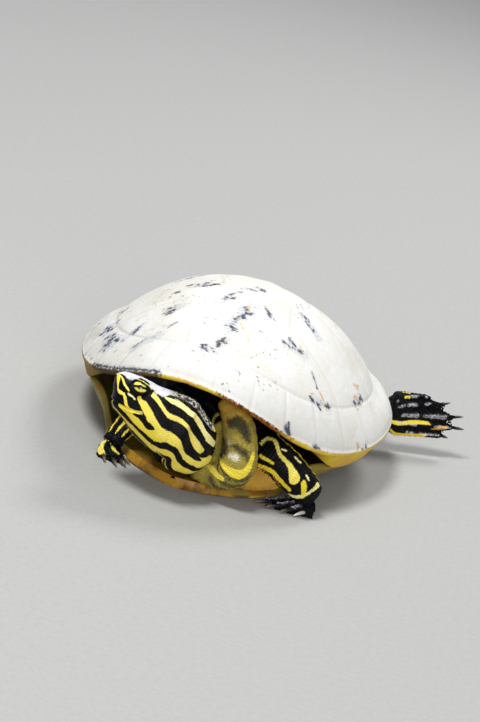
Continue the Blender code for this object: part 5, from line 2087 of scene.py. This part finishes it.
def plastron_material():
    """Yellow horn with a smoky dark blotch in each scute and an orange-brown front edge, darkened
    with painted shade.
    """
    m = Nodes("plastron_horn")
    seam = m.attribute("seam")
    cloud, fine = m.noise(18, 4, 0.6), m.noise(1.8, 4, 0.7)
    horn = m.mix(m.ramp(cloud, 0.3, 0.7), BELLY_HORN, BELLY_ORANGE)
    deep = m.plus(m.ramp(seam, 5.0, 14.0, 0.0, 0.55), m.times(m.noise(9, 3), 0.5))
    flat = m.mix(m.ramp(deep, 0.55, 0.72, 0.0, 0.9), horn, BELLY_SMUDGE)
    olive = m.mix(m.ramp(cloud, 0.3, 0.7), WALL_OLIVE, WALL_UMBER)
    olive = m.mix(m.ramp(m.noise(12, 3, 0.6), 0.55, 0.66, 0.0, 0.8), olive, WALL_RUST)
    colour = m.mix(m.attribute("wall"), flat, olive)
    # painted shade: the front edge darker orange-brown
    lip = m.mix(m.ramp(m.noise(8, 3, 0.6), 0.35, 0.65), SHADED_LIP_ORANGE, SHADED_LIP_BROWN)
    colour = m.mix(m.attribute("front"), colour, lip)
    colour = m.mix(m.ramp(seam, 0.2, 0.9, 0.6, 0.0), colour, BELLY_SEAM)
    colour = m.mix(m.ramp(fine, 0.5, 0.8, 0.0, 0.3), colour, BELLY_SCUFF)
    normal = m.bump(fine, 0.10)
    return m.finish(colour, m.ramp(fine, 0.3, 0.8, 0.3, 0.5), normal, Specular_IOR_Level=0.3)


def skin_material(name, plate=False):
    """Black skin under yellow stripes with painted glare on crown and feet, and yellow loose folds
    with painted shade and a painted highlight, for the skin and its scales.
    """
    m = Nodes(name)
    fine, grit = m.noise(1.1, 3, 0.6), m.noise(0.4, 3, 0.6)
    cloud = m.noise(7, 3, 0.6)
    wander = m.times(m.minus(fine, 0.5), 0.8)
    black = m.mix(m.ramp(cloud, 0.4, 0.75), BLACK, BLUE_BLACK)
    loose = m.mix(m.ramp(cloud, 0.3, 0.7), FOLD_YELLOW, FOLD_OLIVE)
    loose = m.mix(m.ramp(fine, 0.4, 0.75, 0.0, 0.5), loose, FOLD_SHADE)
    loose = m.mix(m.attribute("warm"), loose, ORANGE)
    rumpled = m.times(m.minus(fine, 0.5), 2.2)
    # pale creases of the neck fold, partly a painted highlight
    creased_highlight = m.ramp(m.plus(m.attribute("pale_and_highlight"), rumpled), 0.4, 1.0, 0.0, 0.85)
    loose = m.mix(creased_highlight, loose, FOLD_PALE_HIGHLIGHT)
    # dark marks of the folds, and painted shade in the collar's recess
    dark_and_shade = m.plus(m.attribute("dark_and_shade"), m.times(wander, 5.0))
    loose = m.mix(m.ramp(dark_and_shade, -1.4, 1.6, 0.0, 0.9), loose, FOLD_DARK_AND_SHADE)
    ground = m.mix(m.attribute("ground"), black, loose)
    line = m.mix(m.attribute("pale"), YELLOW, CREAM)
    line = m.mix(m.attribute("warm"), line, ORANGE)
    line = m.mix(m.ramp(cloud, 0.5, 0.8, 0.0, 0.3), line, DEEP_YELLOW)
    edge = m.plus(m.attribute("stripe"), wander)
    colour = m.mix(m.ramp(edge, -0.2, 0.2), ground, line)
    # painted glare: a pale highlight on the crown and glints on the left feet, cream and pebbled at
    # the nape
    deep = m.attribute("painted_glare")
    glare_depth = m.plus(deep, m.times(wander, 2.6))
    pebbles = m.ramp(m.cells(1.5), 0.30, 0.56, 1.0, 0.05)
    glare_cells = m.mix(m.attribute("pebbled"), WHITE, pebbles)
    glare_depth = m.times(m.ramp(glare_depth, -0.5, 0.9, 0.0, 0.92), glare_cells)
    glare_tone = m.mix(m.ramp(m.noise(2.6, 4, 0.7), 0.4, 0.7), GLARE_WHITE, GLARE_BLUE)
    glare_tone = m.mix(m.attribute("pebbled"), glare_tone, GLARE_PEBBLE_CREAM)
    colour = m.mix(glare_depth, colour, glare_tone)
    grain = m.cells(0.55)
    if plate:
        lift = m.attribute("crown")
        colour = m.mix(m.ramp(lift, 0.0, 0.6, 0.22, 0.0), colour, SCALE_EDGE)
        rough = m.ramp(m.attribute("plate"), 0.0, 1.0, 0.16, 0.34)
    else:
        rough = m.ramp(fine, 0.3, 0.7, 0.24, 0.42)
    normal = m.bump(m.plus(m.plus(grain, fine), grit), 0.05)
    return m.finish(colour, rough, normal, Specular_IOR_Level=0.09)


def horn_material():
    """Brown-black claws with paler tips, and a pale one on each forefoot."""
    m = Nodes("claw_horn")
    share, fine = m.attribute("share"), m.noise(0.5, 3, 0.6)
    dark = m.mix(m.ramp(share, 0.35, 0.95), (0.012, 0.010, 0.010), (0.16, 0.12, 0.08))
    light = m.mix(m.ramp(share, 0.2, 0.9), (0.55, 0.50, 0.40), (0.88, 0.85, 0.78))
    light = m.mix(m.ramp(fine, 0.45, 0.8, 0.0, 0.35), light, (0.30, 0.24, 0.14))
    colour = m.mix(m.attribute("light"), dark, light)
    return m.finish(colour, m.ramp(fine, 0.3, 0.7, 0.2, 0.35), m.bump(fine, 0.05))


def eye_material():
    """A yellow iris crossed by a dark bar, with a round black pupil, under gloss."""
    m = Nodes("eye_iris")
    u, v = m.attribute("rearward"), m.attribute("upward")
    reach = m.math("SQRT", m.plus(m.times(u, u), m.times(v, v)))
    fine = m.noise(0.45, 4, 0.7)
    iris = m.mix(m.ramp(fine, 0.3, 0.7), (0.86, 0.76, 0.05), (0.62, 0.55, 0.03))
    iris = m.mix(m.ramp(reach, 1.3, 2.4), iris, (0.92, 0.84, 0.12))
    wander = m.times(m.minus(fine, 0.5), 0.5)
    level = m.plus(m.plus(v, wander), m.times(u, -0.22))
    level = m.math("ABSOLUTE", level)
    iris = m.mix(m.ramp(level, 0.58, 0.74, 1.0, 0.0), iris, (0.006, 0.006, 0.006))
    iris = m.mix(m.ramp(reach, 1.02, 1.14, 1.0, 0.0), iris, (0.002, 0.002, 0.002))
    iris = m.mix(m.ramp(reach, 3.3, 3.7), iris, (0.01, 0.01, 0.01))
    return m.finish(iris, 0.12, None, Coat_Weight=1.0, Coat_Roughness=0.02, Coat_IOR=1.38)


def floor_material():
    """Plain pale grey."""
    m = Nodes("floor_plain")
    fine = m.noise(3, 2)
    colour = m.mix(m.ramp(fine, 0.3, 0.7), (0.41, 0.41, 0.40), (0.39, 0.39, 0.38))
    return m.finish(colour, 0.9)


def dress(obj, material, slot, *nodes):
    """Gives a piece its material and ties it to the frame."""
    obj.data.materials.clear()
    obj.data.materials.append(material)
    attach(obj, "root")
    if nodes:
        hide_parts(*nodes)


# ---------------------------------------------------------------- camera and light

CAMERA_AZIMUTH = 9.03
CAMERA_ELEVATION = 19.55
CAMERA_ROLL = 17.67
CAMERA_DISTANCE = 1580.0
CAMERA_LENS = 146.0
CAMERA_AIM = (10.7, -38.5)  # across and down the view from the origin, in millimetres
SENSOR = 36.0
CLIP = (0.05, 20)  # metres


def make_camera():
    """The camera, turned and rolled round the origin and aimed a little beside it."""
    angles = (CAMERA_AZIMUTH, CAMERA_ELEVATION, CAMERA_ROLL)
    azimuth, elevation, roll = (math.radians(v) for v in angles)
    level = np.array([math.sin(azimuth), -math.cos(azimuth), 0.0])
    back = level * math.cos(elevation) + np.array([0.0, 0.0, math.sin(elevation)])
    right = np.array([math.cos(azimuth), math.sin(azimuth), 0.0])
    up = np.cross(back, right)
    across = right * math.cos(roll) + up * math.sin(roll)
    down = right * math.sin(roll) - up * math.cos(roll)
    target = across * CAMERA_AIM[0] + down * CAMERA_AIM[1]
    place = back * CAMERA_DISTANCE
    facing = unit(place - target)
    across = unit(across - (across @ facing) * facing)
    upward = np.cross(facing, across)
    data = bpy.data.cameras.new("camera")
    data.sensor_width = SENSOR
    data.lens = CAMERA_LENS
    data.clip_start, data.clip_end = CLIP
    camera = bpy.data.objects.new("camera", data)
    turned = Matrix(np.stack([across, upward, facing], axis=1).tolist()).to_4x4()
    turned.translation = Vector(place * MM)
    camera.matrix_world = turned
    bpy.context.scene.collection.objects.link(camera)
    bpy.context.scene.camera = camera


FLOOR_HALF = 9000.0
FLOOR_GAP = 0.05
SKY = (0.93, 0.95, 1.0, 1.0)
SKY_STRENGTH = 0.30
LIGHT_AIM = (0, 0, 0.03)
# Area lights by name: place and size in metres, and power in watts
LIGHTS = {
    "key": ((-0.45, -0.55, 1.55), 0.45, 23),
    "rim": ((0.25, 1.1, 1.15), 0.5, 13),
    "fill": ((0.7, -1.9, 0.8), 1.3, 19),
}


def add_light(name, place, size, power):
    """A round area light that faces the turtle."""
    data = bpy.data.lights.new(name, "AREA")
    data.shape = "DISK"
    data.size = size
    data.energy = power
    light = bpy.data.objects.new(name, data)
    light.location = place
    aim = Vector(LIGHT_AIM) - Vector(place)
    light.rotation_euler = aim.to_track_quat("-Z", "Y").to_euler()
    bpy.context.scene.collection.objects.link(light)


def make_stage():
    """A plain pale floor under a soft sky, with three area lights."""
    corners = [(-1, -1), (1, -1), (1, 1), (-1, 1)]
    points = [(x * FLOOR_HALF, y * FLOOR_HALF, -FLOOR_GAP) for x, y in corners]
    floor = add_mesh("floor", points, [(0, 1, 2, 3)])
    floor.data.materials.append(floor_material())
    floor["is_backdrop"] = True
    world = bpy.data.worlds.new("soft_sky")
    world.use_nodes = True
    background = world.node_tree.nodes["Background"]
    background.inputs["Color"].default_value = SKY
    background.inputs["Strength"].default_value = SKY_STRENGTH
    bpy.context.scene.world = world
    for name, (place, size, power) in LIGHTS.items():
        add_light(name, place, size, power)
    bpy.context.scene.view_settings.view_transform = "Standard"


# ---------------------------------------------------------------- assembly


FAR_FROM_PIECES = 2.2  # skin this far from every piece is plain


def main():
    make_camera()
    make_stage()
    dress(make_carapace(), shell_material(), "shell", "carapace")
    dress(make_plastron(), plastron_material(), "plastron", "plastron")

    tubes = all_tubes()
    skin = join_flesh(tubes)
    thin_hidden(skin)
    atlas = Atlas(tubes)
    points, piece, along, around, away = finish_skin(skin, atlas)
    marks = paint(piece, along, around, points)
    plain = away > FAR_FROM_PIECES
    for key in ("stripe", "painted_glare", "dark_and_shade"):
        marks[key][plain] = NO_MARK
    marks["ground"][plain] = 0.0
    set_attributes(skin.data, marks)
    dress(skin, skin_material("skin_leather"), "skin", *FLESH_NODES)

    faces = [tuple(face.vertices) for face in skin.data.polygons]
    bare = surface_tree(read_points(skin.data), faces)
    scales = skin_material("skin_scales", plate=True)
    random = np.random.RandomState(11)
    for number, tube in enumerate(tubes):
        dress(coat(tube, number, bare, atlas, random), scales, "skin")

    dress(claws(), horn_material(), "skin")
    iris = eye_material()
    for name, side in (("eye_left", 1), ("eye_right", -1)):
        dress(eyeball(name + "_ball", side), iris, "eye", name)

    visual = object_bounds()
    plain = [[list(map(float, corner)) for corner in found] for found in (CAD_BOX, visual)]


main()
